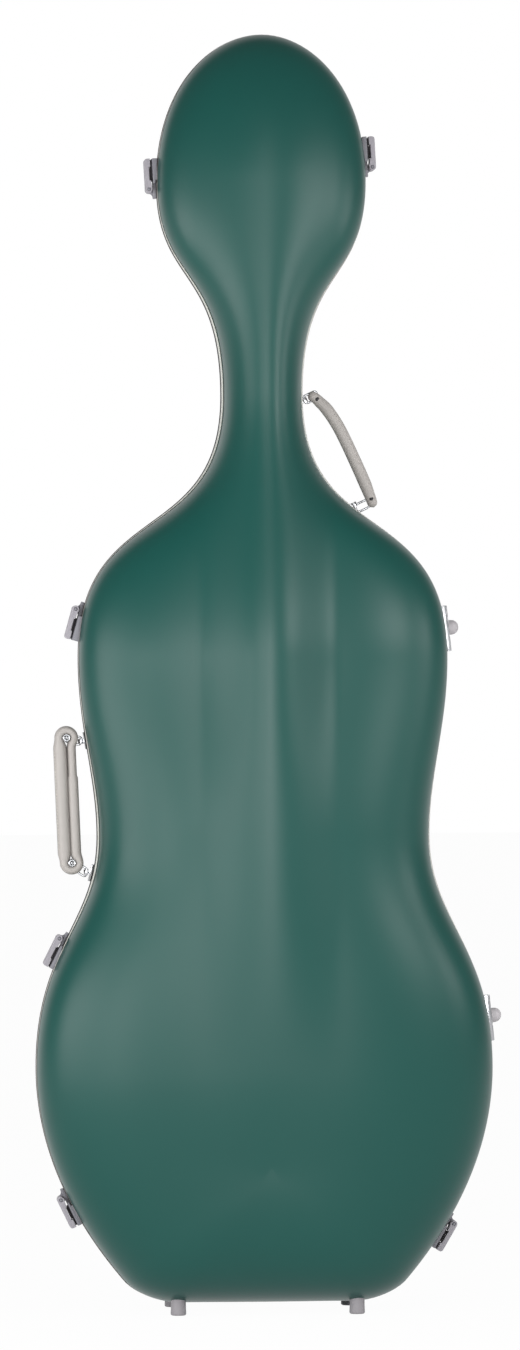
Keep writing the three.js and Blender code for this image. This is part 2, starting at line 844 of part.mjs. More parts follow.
// Rounded rectangle of wire in the plane of along and out, from the eye outwards
function wireLoop(frame, eye, reach, radius) {
  const half = loopWidth / 2;
  const corner = loopCornerRadius;
  const path = new THREE.CurvePath();
  const at = (a, o) => eye.clone().addScaledVector(frame.along, a).addScaledVector(frame.out, o);
  const runs = [
    [[half - corner, 0], [half, 0], [half, corner]],
    [[half, reach - corner], [half, reach], [half - corner, reach]],
    [[corner - half, reach], [-half, reach], [-half, reach - corner]],
    [[-half, corner], [-half, 0], [corner - half, 0]],
  ];
  runs.forEach((run, index) => {
    const [from, mid, to] = run.map(([a, o]) => at(a, o));
    path.add(new THREE.QuadraticBezierCurve3(from, mid, to));
    const next = runs[(index + 1) % runs.length][0];
    path.add(new THREE.LineCurve3(to, at(next[0], next[1])));
  });
  const across = new THREE.Vector3().crossVectors(frame.along, frame.out).normalize();
  const rows = [];
  path.curves.forEach((curve, index) => {
    const steps = index % 2 === 0 ? [0, 0.5, 1] : [];
    for (const share of steps) {
      const centre = curve.getPoint(share);
      const side = new THREE.Vector3().crossVectors(curve.getTangent(share), across).normalize();
      const ring = [];
      for (let k = 0; k < wireFacets; k++) {
        const turn = (2 * k * Math.PI) / wireFacets;
        ring.push(
          centre
            .clone()
            .addScaledVector(across, radius * Math.sin(turn))
            .addScaledVector(side, radius * Math.cos(turn))
            .toArray(),
        );
      }
      rows.push(ring);
    }
  });
  return solidOf(gridGeometry(rows, true, true));
}

// Bracket: a plate on the shell's wall with one short eye for the wire
function handleBracket(frame, eye, level, handSide) {
  const wallFrame = frameAt(level, handSide, true);
  const half = bracketHalfLength;
  const plateShape = rectangle(-half, -overrun - wall, half, bracketPlate + seatGap);
  const low = frame.depth - bracketHalfDepth;
  const plate = sectionSolid(wallFrame, plateShape, low, frame.depth + bracketHalfDepth);
  const eyeLength = loopWidth - 2 * loopWireRadius - 2 * eyeGap;
  const eyeStart = eye.clone().addScaledVector(frame.along, -eyeLength / 2);
  const boss = bar(eyeRadius, eyeStart, frame.along, eyeLength, footFacets);
  const bossFrame = { ...frame, origin: new THREE.Vector3(eye.x, 0, eye.z) };
  const neckFoot = -eyeStand - overrun - wall;
  const neckShape = rectangle(-eyeLength / 2, neckFoot, eyeLength / 2, 0);
  const neckHalf = eyeRadius * bracketNeckShare;
  const neckLow = frame.depth - neckHalf;
  const neck = sectionSolid(bossFrame, neckShape, neckLow, neckLow + 2 * neckHalf);
  const boreStart = eye.clone().addScaledVector(frame.along, -eyeLength);
  const bore = bar(loopWireRadius + eyeGap, boreStart, frame.along, 2 * eyeLength);
  const bracket = plate.add(boss).add(neck).subtract(bore);
  return bracket.subtract(envelope.back).subtract(envelope.rims);
}

// Both brackets and wire loops of a handle; returns the channels the wires need in it
function addBracketsAndLoops(name, frame, levels, handSide, reach, group) {
  const channels = [];
  frame.ends.forEach((eye, index) => {
    const place = index === 0 ? "upper" : "lower";
    const bracket = handleBracket(frame, eye, levels[index], handSide);
    addMesh(backGroup, `${name}_bracket_${place}`, bracket, finishes.steel);
    const wire = wireLoop(frame, eye, reach, loopWireRadius);
    addMesh(group, `${name}_loop_${place}`, wire, finishes.steel);
    channels.push(wireLoop(frame, eye, reach, loopWireRadius + eyeGap));
  });
  pivots[name] = { at: frame.ends[0], along: frame.along, out: frame.out };
  return channels;
}

// Carrying handle: a thick grip outside and a strap inside it, folded round the wire loops
const carryGroup = new THREE.Group();
part.add(carryGroup);
const carryLevels = [carryLevel + carrySpan / 2, carryLevel - carrySpan / 2];
const carryFrame = handleFrame(carryLevels[0], carryLevels[1], -1, carryDepth);
const carryStrapFoot = carryReach - carryGripThickness - carryStrapThickness - seatGap;
const carryLoopReach = carryStrapFoot + carryStrapThickness / 2;
const carryChannels = addBracketsAndLoops(
  "carry_handle",
  carryFrame,
  carryLevels,
  -1,
  carryLoopReach,
  carryGroup,
);
const carryMiddle = carryFrame.ends[0].clone().lerp(carryFrame.ends[1], 1 / 2);
carryMiddle.y = 0;
const carrySection = { ...carryFrame, origin: carryMiddle };

// A bar's outline with rounded corners, lying on a foot line
function roundedBar(length, foot, thickness, roundShare) {
  const half = length / 2;
  const round = thickness * roundShare;
  const shape = new THREE.Shape();
  shape.moveTo(-half + round, foot);
  shape.lineTo(half - round, foot);
  shape.quadraticCurveTo(half, foot, half, foot + round);
  shape.lineTo(half, foot + thickness - round);
  shape.quadraticCurveTo(half, foot + thickness, half - round, foot + thickness);
  shape.lineTo(-half + round, foot + thickness);
  shape.quadraticCurveTo(-half, foot + thickness, -half, foot + thickness - round);
  shape.lineTo(-half, foot + round);
  shape.quadraticCurveTo(-half, foot, -half + round, foot);
  return shape;
}
const handleLow = carryDepth - handleWidth / 2;
const handleHigh = carryDepth + handleWidth / 2;
const gripRoundShare = 0.48;
const gripFoot = carryReach - carryGripThickness;
const gripShape = roundedBar(carryGripLength, gripFoot, carryGripThickness, gripRoundShare);
const carryGrip = sectionSolid(carrySection, gripShape, handleLow, handleHigh, softFacets);
addMesh(carryGroup, "carry_handle_grip", carryGrip, finishes.leather);
const strapShape = roundedBar(carryStrapLength, carryStrapFoot, carryStrapThickness, gripRoundShare);
let carryStrap = sectionSolid(carrySection, strapShape, handleLow, handleHigh, softFacets);
for (const channel of carryChannels) carryStrap = carryStrap.subtract(channel);
addMesh(carryGroup, "carry_handle_strap", carryStrap, finishes.leather);

// Neck handle: one padded tube that bows outwards between its loops
const neckHandleGroup = new THREE.Group();
part.add(neckHandleGroup);
const neckLevels = [neckHandleLevel + neckHandleSpan / 2, neckHandleLevel - neckHandleSpan / 2];
const neckFrame = handleFrame(neckLevels[0], neckLevels[1], 1, carryDepth);
const neckChannels = addBracketsAndLoops(
  "neck_handle",
  neckFrame,
  neckLevels,
  1,
  neckHandleReach,
  neckHandleGroup,
);
const [neckTop, neckFoot] = neckFrame.ends;
const tubeEnd = (eye, sign) =>
  eye
    .clone()
    .addScaledVector(neckFrame.out, neckHandleReach)
    .addScaledVector(neckFrame.along, (sign * loopWidth) / 2);
const tubeMiddle = neckTop.clone().lerp(neckFoot, 1 / 2);
tubeMiddle.addScaledVector(neckFrame.out, neckHandleReach + 2 * neckHandleBow);
const tubeCurve = new THREE.QuadraticBezierCurve3(
  tubeEnd(neckTop, 1),
  tubeMiddle,
  tubeEnd(neckFoot, -1),
);
const tubeRows = [];
const tubeSteps = 9;
const capShares = [0, 0.55, 0.9];
const tubeStations = [
  ...capShares.map((share) => [0, share]),
  ...Array.from({ length: tubeSteps + 1 }, (_, k) => [k / tubeSteps, 1]),
  ...capShares.toReversed().map((share) => [1, share]),
];
tubeStations.forEach(([along, swell]) => {
  const centre = tubeCurve.getPoint(along);
  const tangent = tubeCurve.getTangent(along);
  const push = Math.sqrt(1 - swell * swell) * neckHandleRadius * (along === 0 ? -1 : 1);
  centre.addScaledVector(tangent, swell === 1 ? 0 : push);
  const acrossTube = new THREE.Vector3(0, 1, 0);
  const side = new THREE.Vector3().crossVectors(tangent, acrossTube).normalize();
  const ring = [];
  for (let k = 0; k < tubeFacets; k++) {
    const turn = (2 * k * Math.PI) / tubeFacets;
    const radius = neckHandleRadius * swell;
    ring.push(
      centre
        .clone()
        .addScaledVector(acrossTube, radius * Math.sin(turn))
        .addScaledVector(side, radius * Math.cos(turn))
        .toArray(),
    );
  }
  tubeRows.push(ring);
});
let neckTube = solidOf(gridGeometry(tubeRows, true, false));
for (const channel of neckChannels) neckTube = neckTube.subtract(channel);
addMesh(neckHandleGroup, "neck_handle_grip", neckTube, finishes.leather);

// A pillow with a crowned face and drawn-in sides, its back buried in the wall it is cut to
function pillow(centreX, centreZ, width, height, face, back) {
  const rows = [];
  const squared = (value) => Math.sign(value) * Math.abs(value) ** padSquareShare;
  padRingShares.forEach((ringShare, r) => {
    const depth = back + (face - back) * padRiseShares[r];
    const row = [];
    for (let k = 0; k < padFacets; k++) {
      const turn = (2 * k * Math.PI) / padFacets;
      const x = centreX + (squared(Math.cos(turn)) * ringShare * width) / 2;
      const z = centreZ + (squared(Math.sin(turn)) * ringShare * height) / 2;
      row.push([x, depth, z]);
    }
    rows.push(row);
  });
  rows.unshift(rows[0].map(([, depth]) => [centreX, depth, centreZ]));
  return solidOf(gridGeometry(rows, true, false));
}
const padBack = backLowerDepth + overrun;
for (const [place, handSide] of Object.entries({ left: -1, right: 1 })) {
  const baseX = (handSide * basePadSpread) / 2;
  const baseZ = baseLevel + cavityInset + basePadHeight / 2;
  const basePad = pillow(baseX, baseZ, basePadWidth, basePadHeight, padFace, padBack);
  addMesh(backGroup, `base_pad_${place}`, basePad.intersect(cavity.back), finishes.pad);
  const shoulderX = (handSide * shoulderPadSpread) / 2;
  const shoulderPad = pillow(
    shoulderX,
    shoulderPadLevel,
    shoulderPadWidth,
    shoulderPadHeight,
    padFace,
    padBack,
  );
  addMesh(backGroup, `shoulder_pad_${place}`, shoulderPad.intersect(cavity.back), finishes.pad);
}
const centreFrame = {
  origin: new THREE.Vector3(0, 0, cradleLevel),
  out: new THREE.Vector3(1, 0, 0),
  along: new THREE.Vector3(0, 0, 1),
};
const cradleBlock = sectionSolid(
  centreFrame,
  rectangle(-cradleLength / 2, -neckWidth, cradleLength / 2, neckWidth),
  cradleFace,
  padBack,
);
const channelStart = new THREE.Vector3(0, cradleFace, cradleLevel - cradleLength);
const channelLength = 2 * cradleLength;
const channel = bar(cradleChannelRadius, channelStart, centreFrame.along, channelLength, bossFacets);
const cradle = cradleBlock.intersect(cavity.back).subtract(channel);
addMesh(backGroup, "neck_cradle", cradle, finishes.pad);

// Bow holders: a boss with a turning toggle for the bow's heel, and an open pocket for its tip
const inwards = new THREE.Vector3(0, 1, 0);
function lidDepthAt(x, z) {
  const outside = new THREE.Vector3(x, -2 * lidLowerDepth, z);
  const probe = bar(seatGap, outside, inwards, 2 * lidLowerDepth);
  return -probe.intersect(cavity.lid).boundingBox().min[1];
}
for (const [place, handSide] of Object.entries({ left: -1, right: 1 })) {
  const x = (handSide * bowSpread) / 2;
  const clipDepth = lidDepthAt(x, bowClipLevel);
  const bossFace = bowBossRise - clipDepth;
  const bossStart = new THREE.Vector3(x, bossFace - 2 * bowBossRise, bowClipLevel);
  const boss = bar(bowBossRadius, bossStart, inwards, 2 * bowBossRise, bossFacets);
  const pinLength = bowToggleThickness + 2 * seatGap;
  const pinStart = new THREE.Vector3(x, bossFace - overrun, bowClipLevel);
  const pin = bar(bowPinRadius, pinStart, inwards, overrun + pinLength);
  const headStart = new THREE.Vector3(x, bossFace + pinLength, bowClipLevel);
  const head = bar(2 * bowPinRadius, headStart, inwards, bowPinRadius / 2);
  const bossWithPin = boss.intersect(cavity.lid).add(pin).add(head);
  addMesh(lidGroup, `bow_boss_${place}`, bossWithPin, finishes.plastic);
  const toggleGroup = new THREE.Group();
  part.add(toggleGroup);
  const toggleFrame = {
    origin: new THREE.Vector3(x, 0, bowClipLevel),
    out: new THREE.Vector3(1, 0, 0),
    along: new THREE.Vector3(0, 0, 1),
  };
  const toggleRound = bowToggleWidth / 2;
  const toggleArm = bowToggleLength / 2 - toggleRound;
  const quarter = Math.PI / 2;
  const toggleShape = new THREE.Shape();
  toggleShape.absarc(toggleArm, 0, toggleRound, -quarter, quarter, false);
  toggleShape.absarc(-toggleArm, 0, toggleRound, quarter, 3 * quarter, false);
  const toggleHole = new THREE.Path();
  toggleHole.absarc(0, 0, bowPinRadius + eyeGap, 0, 2 * Math.PI, true);
  toggleShape.holes.push(toggleHole);
  const toggleLow = bossFace + seatGap;
  const toggleHigh = toggleLow + bowToggleThickness;
  const toggle = sectionSolid(toggleFrame, toggleShape, toggleLow, toggleHigh, softFacets);
  addMesh(toggleGroup, `bow_toggle_${place}`, toggle, finishes.plastic);
  const toggleAt = new THREE.Vector3(x, toggleLow, bowClipLevel);
  pivots[`bow_toggle_${place}`] = { at: toggleAt, along: inwards, out: toggleFrame.out };
  const pocketFrame = { ...toggleFrame, origin: new THREE.Vector3(x, 0, bowPocketLevel) };
  const pocketDepth = lidDepthAt(x, bowPocketLevel);
  const pocketFace = bowPocketRise - pocketDepth;
  const pocketRound = gripRoundShare / 2;
  const outer = roundedBar(bowPocketLength, -bowPocketWidth / 2, bowPocketWidth, pocketRound);
  const pocketFoot = pocketFace - 3 * bowPocketRise;
  const pocketBody = sectionSolid(pocketFrame, outer, pocketFoot, pocketFace, softFacets);
  const hollowWidth = bowPocketWidth - 2 * bowPocketWall;
  const inner = roundedBar(bowPocketLength, -hollowWidth / 2, hollowWidth, pocketRound);
  const hollowAt = new THREE.Vector3(x, 0, bowPocketLevel - bowPocketWall);
  const hollowFrame = { ...pocketFrame, origin: hollowAt };
  const hollowLow = pocketFace - bowPocketRise + bowPocketWall;
  const hollowHigh = pocketFace - bowPocketWall;
  const hollow = sectionSolid(hollowFrame, inner, hollowLow, hollowHigh, softFacets);
  const pocket = pocketBody.intersect(cavity.lid).subtract(hollow);
  addMesh(lidGroup, `bow_pocket_${place}`, pocket, finishes.lining);
}

// The part's origin is the middle of its footprint box on the floor
const bounds = new THREE.Box3().setFromObject(part);
const centre = bounds.getCenter(new THREE.Vector3());
part.position.set(-centre.x, -centre.y, 0);
part.userData.pivots = pivots;

export default part;
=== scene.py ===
"""Looks of a cello hard case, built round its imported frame.

The case stands on its feet, closed. The lid faces -Y, the back shell +Y, the hinges are on +X.
Lengths are in metres, in the frame's own axes.
"""

import json
import logging
import math
from contextlib import contextmanager
from dataclasses import dataclass, field
from enum import Enum
from typing import Iterator, Optional, Sequence

import bmesh
import bpy
import numpy as np
from mathutils import Matrix, Vector

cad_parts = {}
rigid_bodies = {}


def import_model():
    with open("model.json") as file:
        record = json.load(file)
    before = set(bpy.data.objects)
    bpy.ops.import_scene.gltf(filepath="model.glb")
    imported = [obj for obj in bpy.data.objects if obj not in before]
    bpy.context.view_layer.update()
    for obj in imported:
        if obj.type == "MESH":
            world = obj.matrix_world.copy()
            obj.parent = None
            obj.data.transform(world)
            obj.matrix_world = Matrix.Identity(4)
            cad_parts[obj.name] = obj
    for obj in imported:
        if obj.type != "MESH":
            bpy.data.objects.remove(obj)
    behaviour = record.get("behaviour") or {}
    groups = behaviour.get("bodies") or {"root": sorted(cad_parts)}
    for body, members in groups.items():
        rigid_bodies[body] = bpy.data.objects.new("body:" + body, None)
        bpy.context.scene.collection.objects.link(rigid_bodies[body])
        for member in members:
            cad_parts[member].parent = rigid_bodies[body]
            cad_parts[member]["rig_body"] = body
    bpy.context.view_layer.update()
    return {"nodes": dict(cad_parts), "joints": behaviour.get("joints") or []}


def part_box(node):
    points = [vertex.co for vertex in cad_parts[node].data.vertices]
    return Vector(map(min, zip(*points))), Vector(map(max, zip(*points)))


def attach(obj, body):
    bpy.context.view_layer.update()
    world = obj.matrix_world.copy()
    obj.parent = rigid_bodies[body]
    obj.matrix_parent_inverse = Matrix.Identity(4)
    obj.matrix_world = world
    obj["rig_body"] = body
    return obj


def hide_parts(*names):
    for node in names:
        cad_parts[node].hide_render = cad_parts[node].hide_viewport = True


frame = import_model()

Array = np.ndarray
Triple = tuple[float, float, float]
Colour = Triple
Pair = tuple[float, float]
log = logging.getLogger("cello_case")

MM = 0.001
SEAT_GAP = 0.3 * MM
WALL = 3 * MM
LINING = 8 * MM
DOUBLES = 0.002 * MM
SLIVER = 0.001 * MM
ACROSS, DEPTH, UP = np.eye(3)
QUARTER = np.pi / 2
CREASE_DEGREES = 40.0


class HandSide(Enum):
    """Which side of the case a fitting is on, seen from the front."""

    LEFT = -1
    RIGHT = 1


class Body(Enum):
    """The moving bodies of the frame that new pieces ride on."""

    BACK = "back"
    LID = "lid"
    CARRY_HANDLE = "carry_handle"
    NECK_HANDLE = "neck_handle"


def seam_origin() -> Array:
    """Gives the point on the floor under the outline's middle, in the plane of the seam."""
    low, high = map(np.array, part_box("seam_seal"))
    return (low + high) / 2 * (ACROSS + DEPTH)


ORIGIN = seam_origin()


# Shader arithmetic


class Wire:
    """A shader socket that takes part in ordinary Python arithmetic."""

    def __init__(self, tree: "ShaderTree", socket: bpy.types.NodeSocket) -> None:
        """Keeps the socket and the tree it belongs to."""
        self.tree = tree
        self.socket = socket

    def math(self, operation: str, *values: "Wire | float") -> "Wire":
        """Adds a Math node with its inputs in order."""
        return self.tree.node("ShaderNodeMath", {"operation": operation}, dict(enumerate(values)))

    def __add__(self, other: "Wire | float") -> "Wire":
        """Sum of two values."""
        return self.math("ADD", self, other)

    def __sub__(self, other: "Wire | float") -> "Wire":
        """Difference of two values."""
        return self.math("SUBTRACT", self, other)

    def __rsub__(self, other: float) -> "Wire":
        """Difference with a plain number on the left."""
        return self.math("SUBTRACT", other, self)

    def __mul__(self, other: "Wire | float") -> "Wire":
        """Product of two values."""
        return self.math("MULTIPLY", self, other)

    __radd__, __rmul__ = __add__, __mul__

    def clamped(self) -> "Wire":
        """Keeps a value between 0 and 1."""
        return self.math("MINIMUM", self.math("MAXIMUM", self, 0.0), 1.0)


class ShaderTree:
    """A node tree, for a material with a Principled shader and the nodes that feed it."""

    material: bpy.types.Material
    shader: bpy.types.Node
    output: bpy.types.Node

    def __init__(self, tree: bpy.types.NodeTree) -> None:
        """Empties a node tree and keeps it."""
        self.nodes = tree.nodes
        self.links = tree.links
        self.nodes.clear()

    @classmethod
    def new(cls, name: str) -> "ShaderTree":
        """Makes a material with its shader and output.

        Args:
            name: the material's name.

        Returns:
            Its tree.
        """
        material = bpy.data.materials.new(name)
        material.use_nodes = True
        made = cls(material.node_tree)
        made.material = material
        made.shader = made.nodes.new("ShaderNodeBsdfPrincipled")
        made.output = made.nodes.new("ShaderNodeOutputMaterial")
        made.links.new(made.shader.outputs["BSDF"], made.output.inputs["Surface"])
        return made

    def node(self, kind: str, settings: Optional[dict] = None, inputs: Optional[dict] = None,
             output: int | str = 0) -> Wire:
        """Adds any node.

        Args:
            kind: the node's type.
            settings: attributes to set first, such as a Math node's operation.
            inputs: values or wires by socket name or number.
            output: which output to return.

        Returns:
            The chosen output as a wire.
        """
        made = self.nodes.new(kind)
        for key, value in (settings or {}).items():
            setattr(made, key, value)
        for key, value in (inputs or {}).items():
            self.feed(made.inputs[key], value)
        return Wire(self, made.outputs[output])

    def feed(self, socket: bpy.types.NodeSocket, value: object) -> None:
        """Links a wire to a socket, or sets a plain value on it.

        Args:
            socket: the input to feed.
            value: a wire, a number, a colour of three parts or a vector.
        """
        if isinstance(value, Wire):
            self.links.new(value.socket, socket)
        elif isinstance(value, tuple) and len(socket.default_value) == 4:
            socket.default_value = (*value, 1.0)
        else:
            socket.default_value = value

    def set(self, **values: object) -> None:
        """Feeds the shader's sockets; an underscore in a name stands for a space."""
        for key, value in values.items():
            self.feed(self.shader.inputs[key.replace("_", " ")], value)

    def noise(self, place: Wire, grain: float, detail: float) -> Wire:
        """Adds a noise value whose grain is the given length in metres."""
        inputs = {"Vector": place, "Scale": 1 / grain, "Detail": detail, "Roughness": 0.55}
        return self.node("ShaderNodeTexNoise", None, inputs)


def linear(*parts: int) -> Colour:
    """Turns a colour of the screen into linear values.

    A share s of 255 becomes s / 12.92 in the darkest tones, else ((s + 0.055) / 1.055)^2.4.

    Args:
        parts: red, green and blue, 0 to 255.

    Returns:
        The three linear parts.
    """
    share = np.array(parts) / 255
    light = ((share + 0.055) / 1.055) ** 2.4
    return tuple(np.where(share <= 0.04045, share / 12.92, light).tolist())


# Finishes


Pattern = tuple[Wire, Wire, Wire]


@dataclass(frozen=True)
class Coating:
    """What every finish has: a colour between two shades, a roughness and a fine relief.

    Its pattern is three wires: the tone from 0 to 1, the change that the roughness makes, which
    wander scales, and the relief.
    """

    name: str
    colour: Colour
    roughness: float
    shades: Pair
    wander: float
    specular: float
    depth: float
    strength: float = 1.0

    def pattern(self, tree: ShaderTree, place: Wire) -> Pattern:
        """Sets the finish's own constants and gives what varies over it."""
        raise NotImplementedError

    def make(self) -> bpy.types.Material:
        """Builds the material on the piece's own coordinates.

        Returns:
            The material.
        """
        tree = ShaderTree.new(self.name)
        place = tree.node("ShaderNodeTexCoord", output="Object")
        tone, change, relief = self.pattern(tree, place)
        low, high = (tuple(share * part for part in self.colour) for share in self.shades)
        mix = {0: tone, 6: low, 7: high}
        tree.set(Base_Color=tree.node("ShaderNodeMix", {"data_type": "RGBA"}, mix, 2))
        tree.set(Roughness=self.roughness + self.wander * change)
        tree.set(Specular_IOR_Level=self.specular)
        bump = {"Height": relief, "Distance": self.depth, "Strength": self.strength}
        tree.set(Normal=tree.node("ShaderNodeBump", None, bump))
        return tree.material


@dataclass(frozen=True)
class SatinCoat(Coating):
    """The shell's satin lacquer: an even green with a fine orange-peel grain."""

    name: str = "satin_green_coat"
    colour: Colour = (0.002, 0.062, 0.051)
    roughness: float = 0.37
    shades: Pair = (0.94, 1.06)
    wander: float = 0.08
    specular: float = 0.36
    depth: float = 0.012 * MM
    peel: float = 1.6 * MM
    drift: float = 0.22
    drift_share: float = 0.625

    def pattern(self, tree: ShaderTree, place: Wire) -> Pattern:
        """Gives a slow drift of tone and the orange peel."""
        drift, peel = tree.noise(place, self.drift, 2.0), tree.noise(place, self.peel, 2.0)
        return drift, (peel - 0.5) + self.drift_share * (drift - 0.5), peel


@dataclass(frozen=True)
class GrainedLeather(Coating):
    """Light warm-grey leather with pebbled grain and a little handling wear."""

    name: str = "grey_leather"
    colour: Colour = linear(175, 170, 166)
    roughness: float = 0.5
    shades: Pair = (0.93, 1.06)
    wander: float = 0.14
    specular: float = 0.3
    depth: float = 0.035 * MM
    strength: float = 0.5
    pebble: float = 1.1 * MM
    crease_pebbles: float = 6.0
    wear_pebbles: float = 40.0
    crease_tone: float = 0.55
    crease_relief: float = 0.3

    def pattern(self, tree: ShaderTree, place: Wire) -> Pattern:
        """Gives round pebbles, with creases and worn patches some pebbles wide.

        Args:
            tree: the material's tree.
            place: the piece's own coordinates.

        Returns:
            The pattern.
        """
        inputs = {"Vector": place, "Scale": 1 / self.pebble, "Randomness": 0.9}
        cells = tree.node("ShaderNodeTexVoronoi", {"feature": "F1"}, inputs, "Distance")
        creases = tree.noise(place, self.crease_pebbles * self.pebble, 4.0)
        wear = tree.noise(place, self.wear_pebbles * self.pebble, 2.0)
        tone = self.crease_tone * creases + (1 - self.crease_tone) * wear
        relief = (1 - self.crease_relief) * (1 - cells) + self.crease_relief * creases
        return tone.clamped(), cells - 0.5, relief


@dataclass(frozen=True)
class Plush(Coating):
    """Short-piled plush on foam: dark, with a sheen and a cloudy nap."""

    roughness: float = 0.86
    shades: Pair = (0.65, 1.35)
    wander: float = 0.1
    specular: float = 0.2
    depth: float = 0.35 * MM
    sheen: float = 0.35
    sheen_roughness: float = 0.5
    pile: float = 0.9 * MM
    nap: float = 45 * MM

    def pattern(self, tree: ShaderTree, place: Wire) -> Pattern:
        """Sets the sheen and gives the pile and the nap."""
        tree.set(Sheen_Weight=self.sheen, Sheen_Roughness=self.sheen_roughness)
        pile, nap = tree.noise(place, self.pile, 4.0), tree.noise(place, self.nap, 3.0)
        return (0.5 * (pile + nap)).clamped(), pile - 0.5, pile


@dataclass(frozen=True)
class MetalFinish(Coating):
    """A metal or coated metal with fine upright scratches and smudges."""

    shades: Pair = (0.92, 1.06)
    wander: float = 0.1
    specular: float = 0.5
    depth: float = 0.01 * MM
    metallic: float = 0.0
    scratch: float = 0.6 * MM
    stretch: Triple = (1.0, 1.0, 0.12)
    smudge: float = 12 * MM

    def pattern(self, tree: ShaderTree, place: Wire) -> Pattern:
        """Sets how metallic it is and gives the scratches and the smudges.

        Args:
            tree: the material's tree.
            place: the piece's own coordinates.

        Returns:
            The pattern.
        """
        tree.set(Metallic=self.metallic)
        drawn = tree.node("ShaderNodeMapping", None, {"Vector": place, "Scale": self.stretch})
        grain = tree.noise(drawn, self.scratch, 3.0)
        both = grain + tree.noise(place, self.smudge, 2.0)
        return (0.5 * both).clamped(), both - 1, grain


@dataclass(frozen=True)
class MouldedFinish(Coating):
    """Moulded rubber or plastic with a fine matte texture."""

    shades: Pair = (0.88, 1.12)
    wander: float = 0.12
    specular: float = 0.35
    depth: float = 0.03 * MM
    grain: float = 0.5 * MM
    cloud: float = 18 * MM
    cloud_tone: float = 0.6

    def pattern(self, tree: ShaderTree, place: Wire) -> Pattern:
        """Gives the texture and a cloudy tone.

        Args:
            tree: the material's tree.
            place: the piece's own coordinates.

        Returns:
            The pattern.
        """
        grain, cloud = tree.noise(place, self.grain, 3.0), tree.noise(place, self.cloud, 2.0)
        tone = (1 - self.cloud_tone) * grain + self.cloud_tone * cloud
        return tone.clamped(), grain - 0.5, grain


class Finish(Enum):
    """Every finish on the case, with the record's slot it belongs to."""

    SHELL = ("shell", SatinCoat())
    RIM = ("rim", MetalFinish("pale_rim", linear(186, 186, 180), 0.42, metallic=0.35))
    SEAL = ("seal", MouldedFinish("black_seal", linear(30, 29, 29), 0.75))
    LINING = ("lining", Plush("dark_plush", linear(52, 56, 60)))
    PAD = ("pad", Plush("pad_plush", linear(62, 67, 71)))
    LEATHER = ("leather", GrainedLeather())
    THREAD = ("leather", MouldedFinish("waxed_thread", linear(205, 201, 192), 0.7))
    STEEL = ("steel", MetalFinish("bright_steel", linear(178, 179, 182), 0.24, metallic=1.0))
    LATCH = ("latch", MetalFinish("latch_grey", linear(160, 156, 163), 0.5, specular=0.35))
    LATCH_BASE = ("latch_base", MetalFinish("latch_base_grey", linear(128, 127, 134), 0.5))
    # painted shade: a dark finish for the groove round a latch's eye and the gap and slot under
    # its lever
    PAINTED_LATCH_SHADE = ("latch", MouldedFinish("latch_shadow_line", linear(66, 63, 67), 0.7))
    FOOT = ("foot", MouldedFinish("grey_rubber", linear(146, 142, 146), 0.55))
    SIDE_FOOT = ("foot", MouldedFinish("pale_rubber", linear(188, 184, 187), 0.5))
    # also used as painted shade: the dark domes in the neck handle's folds
    PLASTIC = ("plastic", MouldedFinish("black_moulding", linear(38, 38, 40), 0.5))

    @property
    def slot(self) -> str:
        """The record's material slot."""
        return self.value[0]

    def material(self) -> bpy.types.Material:
        """The finish's material, made once."""
        recipe = self.value[1]
        return bpy.data.materials.get(recipe.name) or recipe.make()


# Mesh building


@dataclass
class Skin:
    """Points and faces of one closed surface, to be joined with others into a piece."""

    points: Array
    faces: Array

    @classmethod
    def from_grid(cls, points: Array, wrap_rows: bool, wrap_columns: bool) -> "Skin":
        """Makes a skin from a grid of points, numbered row by row.

        Each quad joins the corners (r, c), (r, c + 1), (r + 1, c + 1) and (r + 1, c).

        Args:
            points: array of rows by columns by 3.
            wrap_rows: whether the last row joins the first.
            wrap_columns: whether a row's last point joins its first.

        Returns:
            The skin.
        """
        rows, columns = points.shape[:2]
        r = np.arange(rows if wrap_rows else rows - 1)[:, None]
        c = np.arange(columns if wrap_columns else columns - 1)
        start, end, next_c = r * columns, (r + 1) % rows * columns, (c + 1) % columns
        corners = (start + c, start + next_c, end + next_c, end + c)
        return cls(points.reshape(-1, 3), np.stack(corners, axis=-1).reshape(-1, 4))


def join_skins(skins: Sequence[Skin]) -> Skin:
    """Joins skins into one, each face's numbers moved on by the points before it.

    Args:
        skins: the skins in order.

    Returns:
        The joined skin.
    """
    starts = np.cumsum([0] + [len(skin.points) for skin in skins[:-1]])
    faces = [skin.faces + start for skin, start in zip(skins, starts)]
    return Skin(np.concatenate([skin.points for skin in skins]), np.concatenate(faces))


def linked(name: str, data: bpy.types.ID) -> bpy.types.Object:
    """Makes an object from its data and puts it in the scene.

    Args:
        name: the object's name.
        data: a mesh, a lamp or a camera.

    Returns:
        The object.
    """
    made = bpy.data.objects.new(name, data)
    bpy.context.scene.collection.objects.link(made)
    return made


@contextmanager
def edited(mesh: bpy.types.Mesh) -> Iterator[bmesh.types.BMesh]:
    """Opens a mesh with its doubled points merged, and writes the edit back.

    Args:
        mesh: the mesh to edit.

    Returns:
        The open mesh, while the block runs.
    """
    work = bmesh.new()
    work.from_mesh(mesh)
    bmesh.ops.remove_doubles(work, verts=work.verts, dist=DOUBLES)
    yield work
    work.to_mesh(mesh)
    work.free()


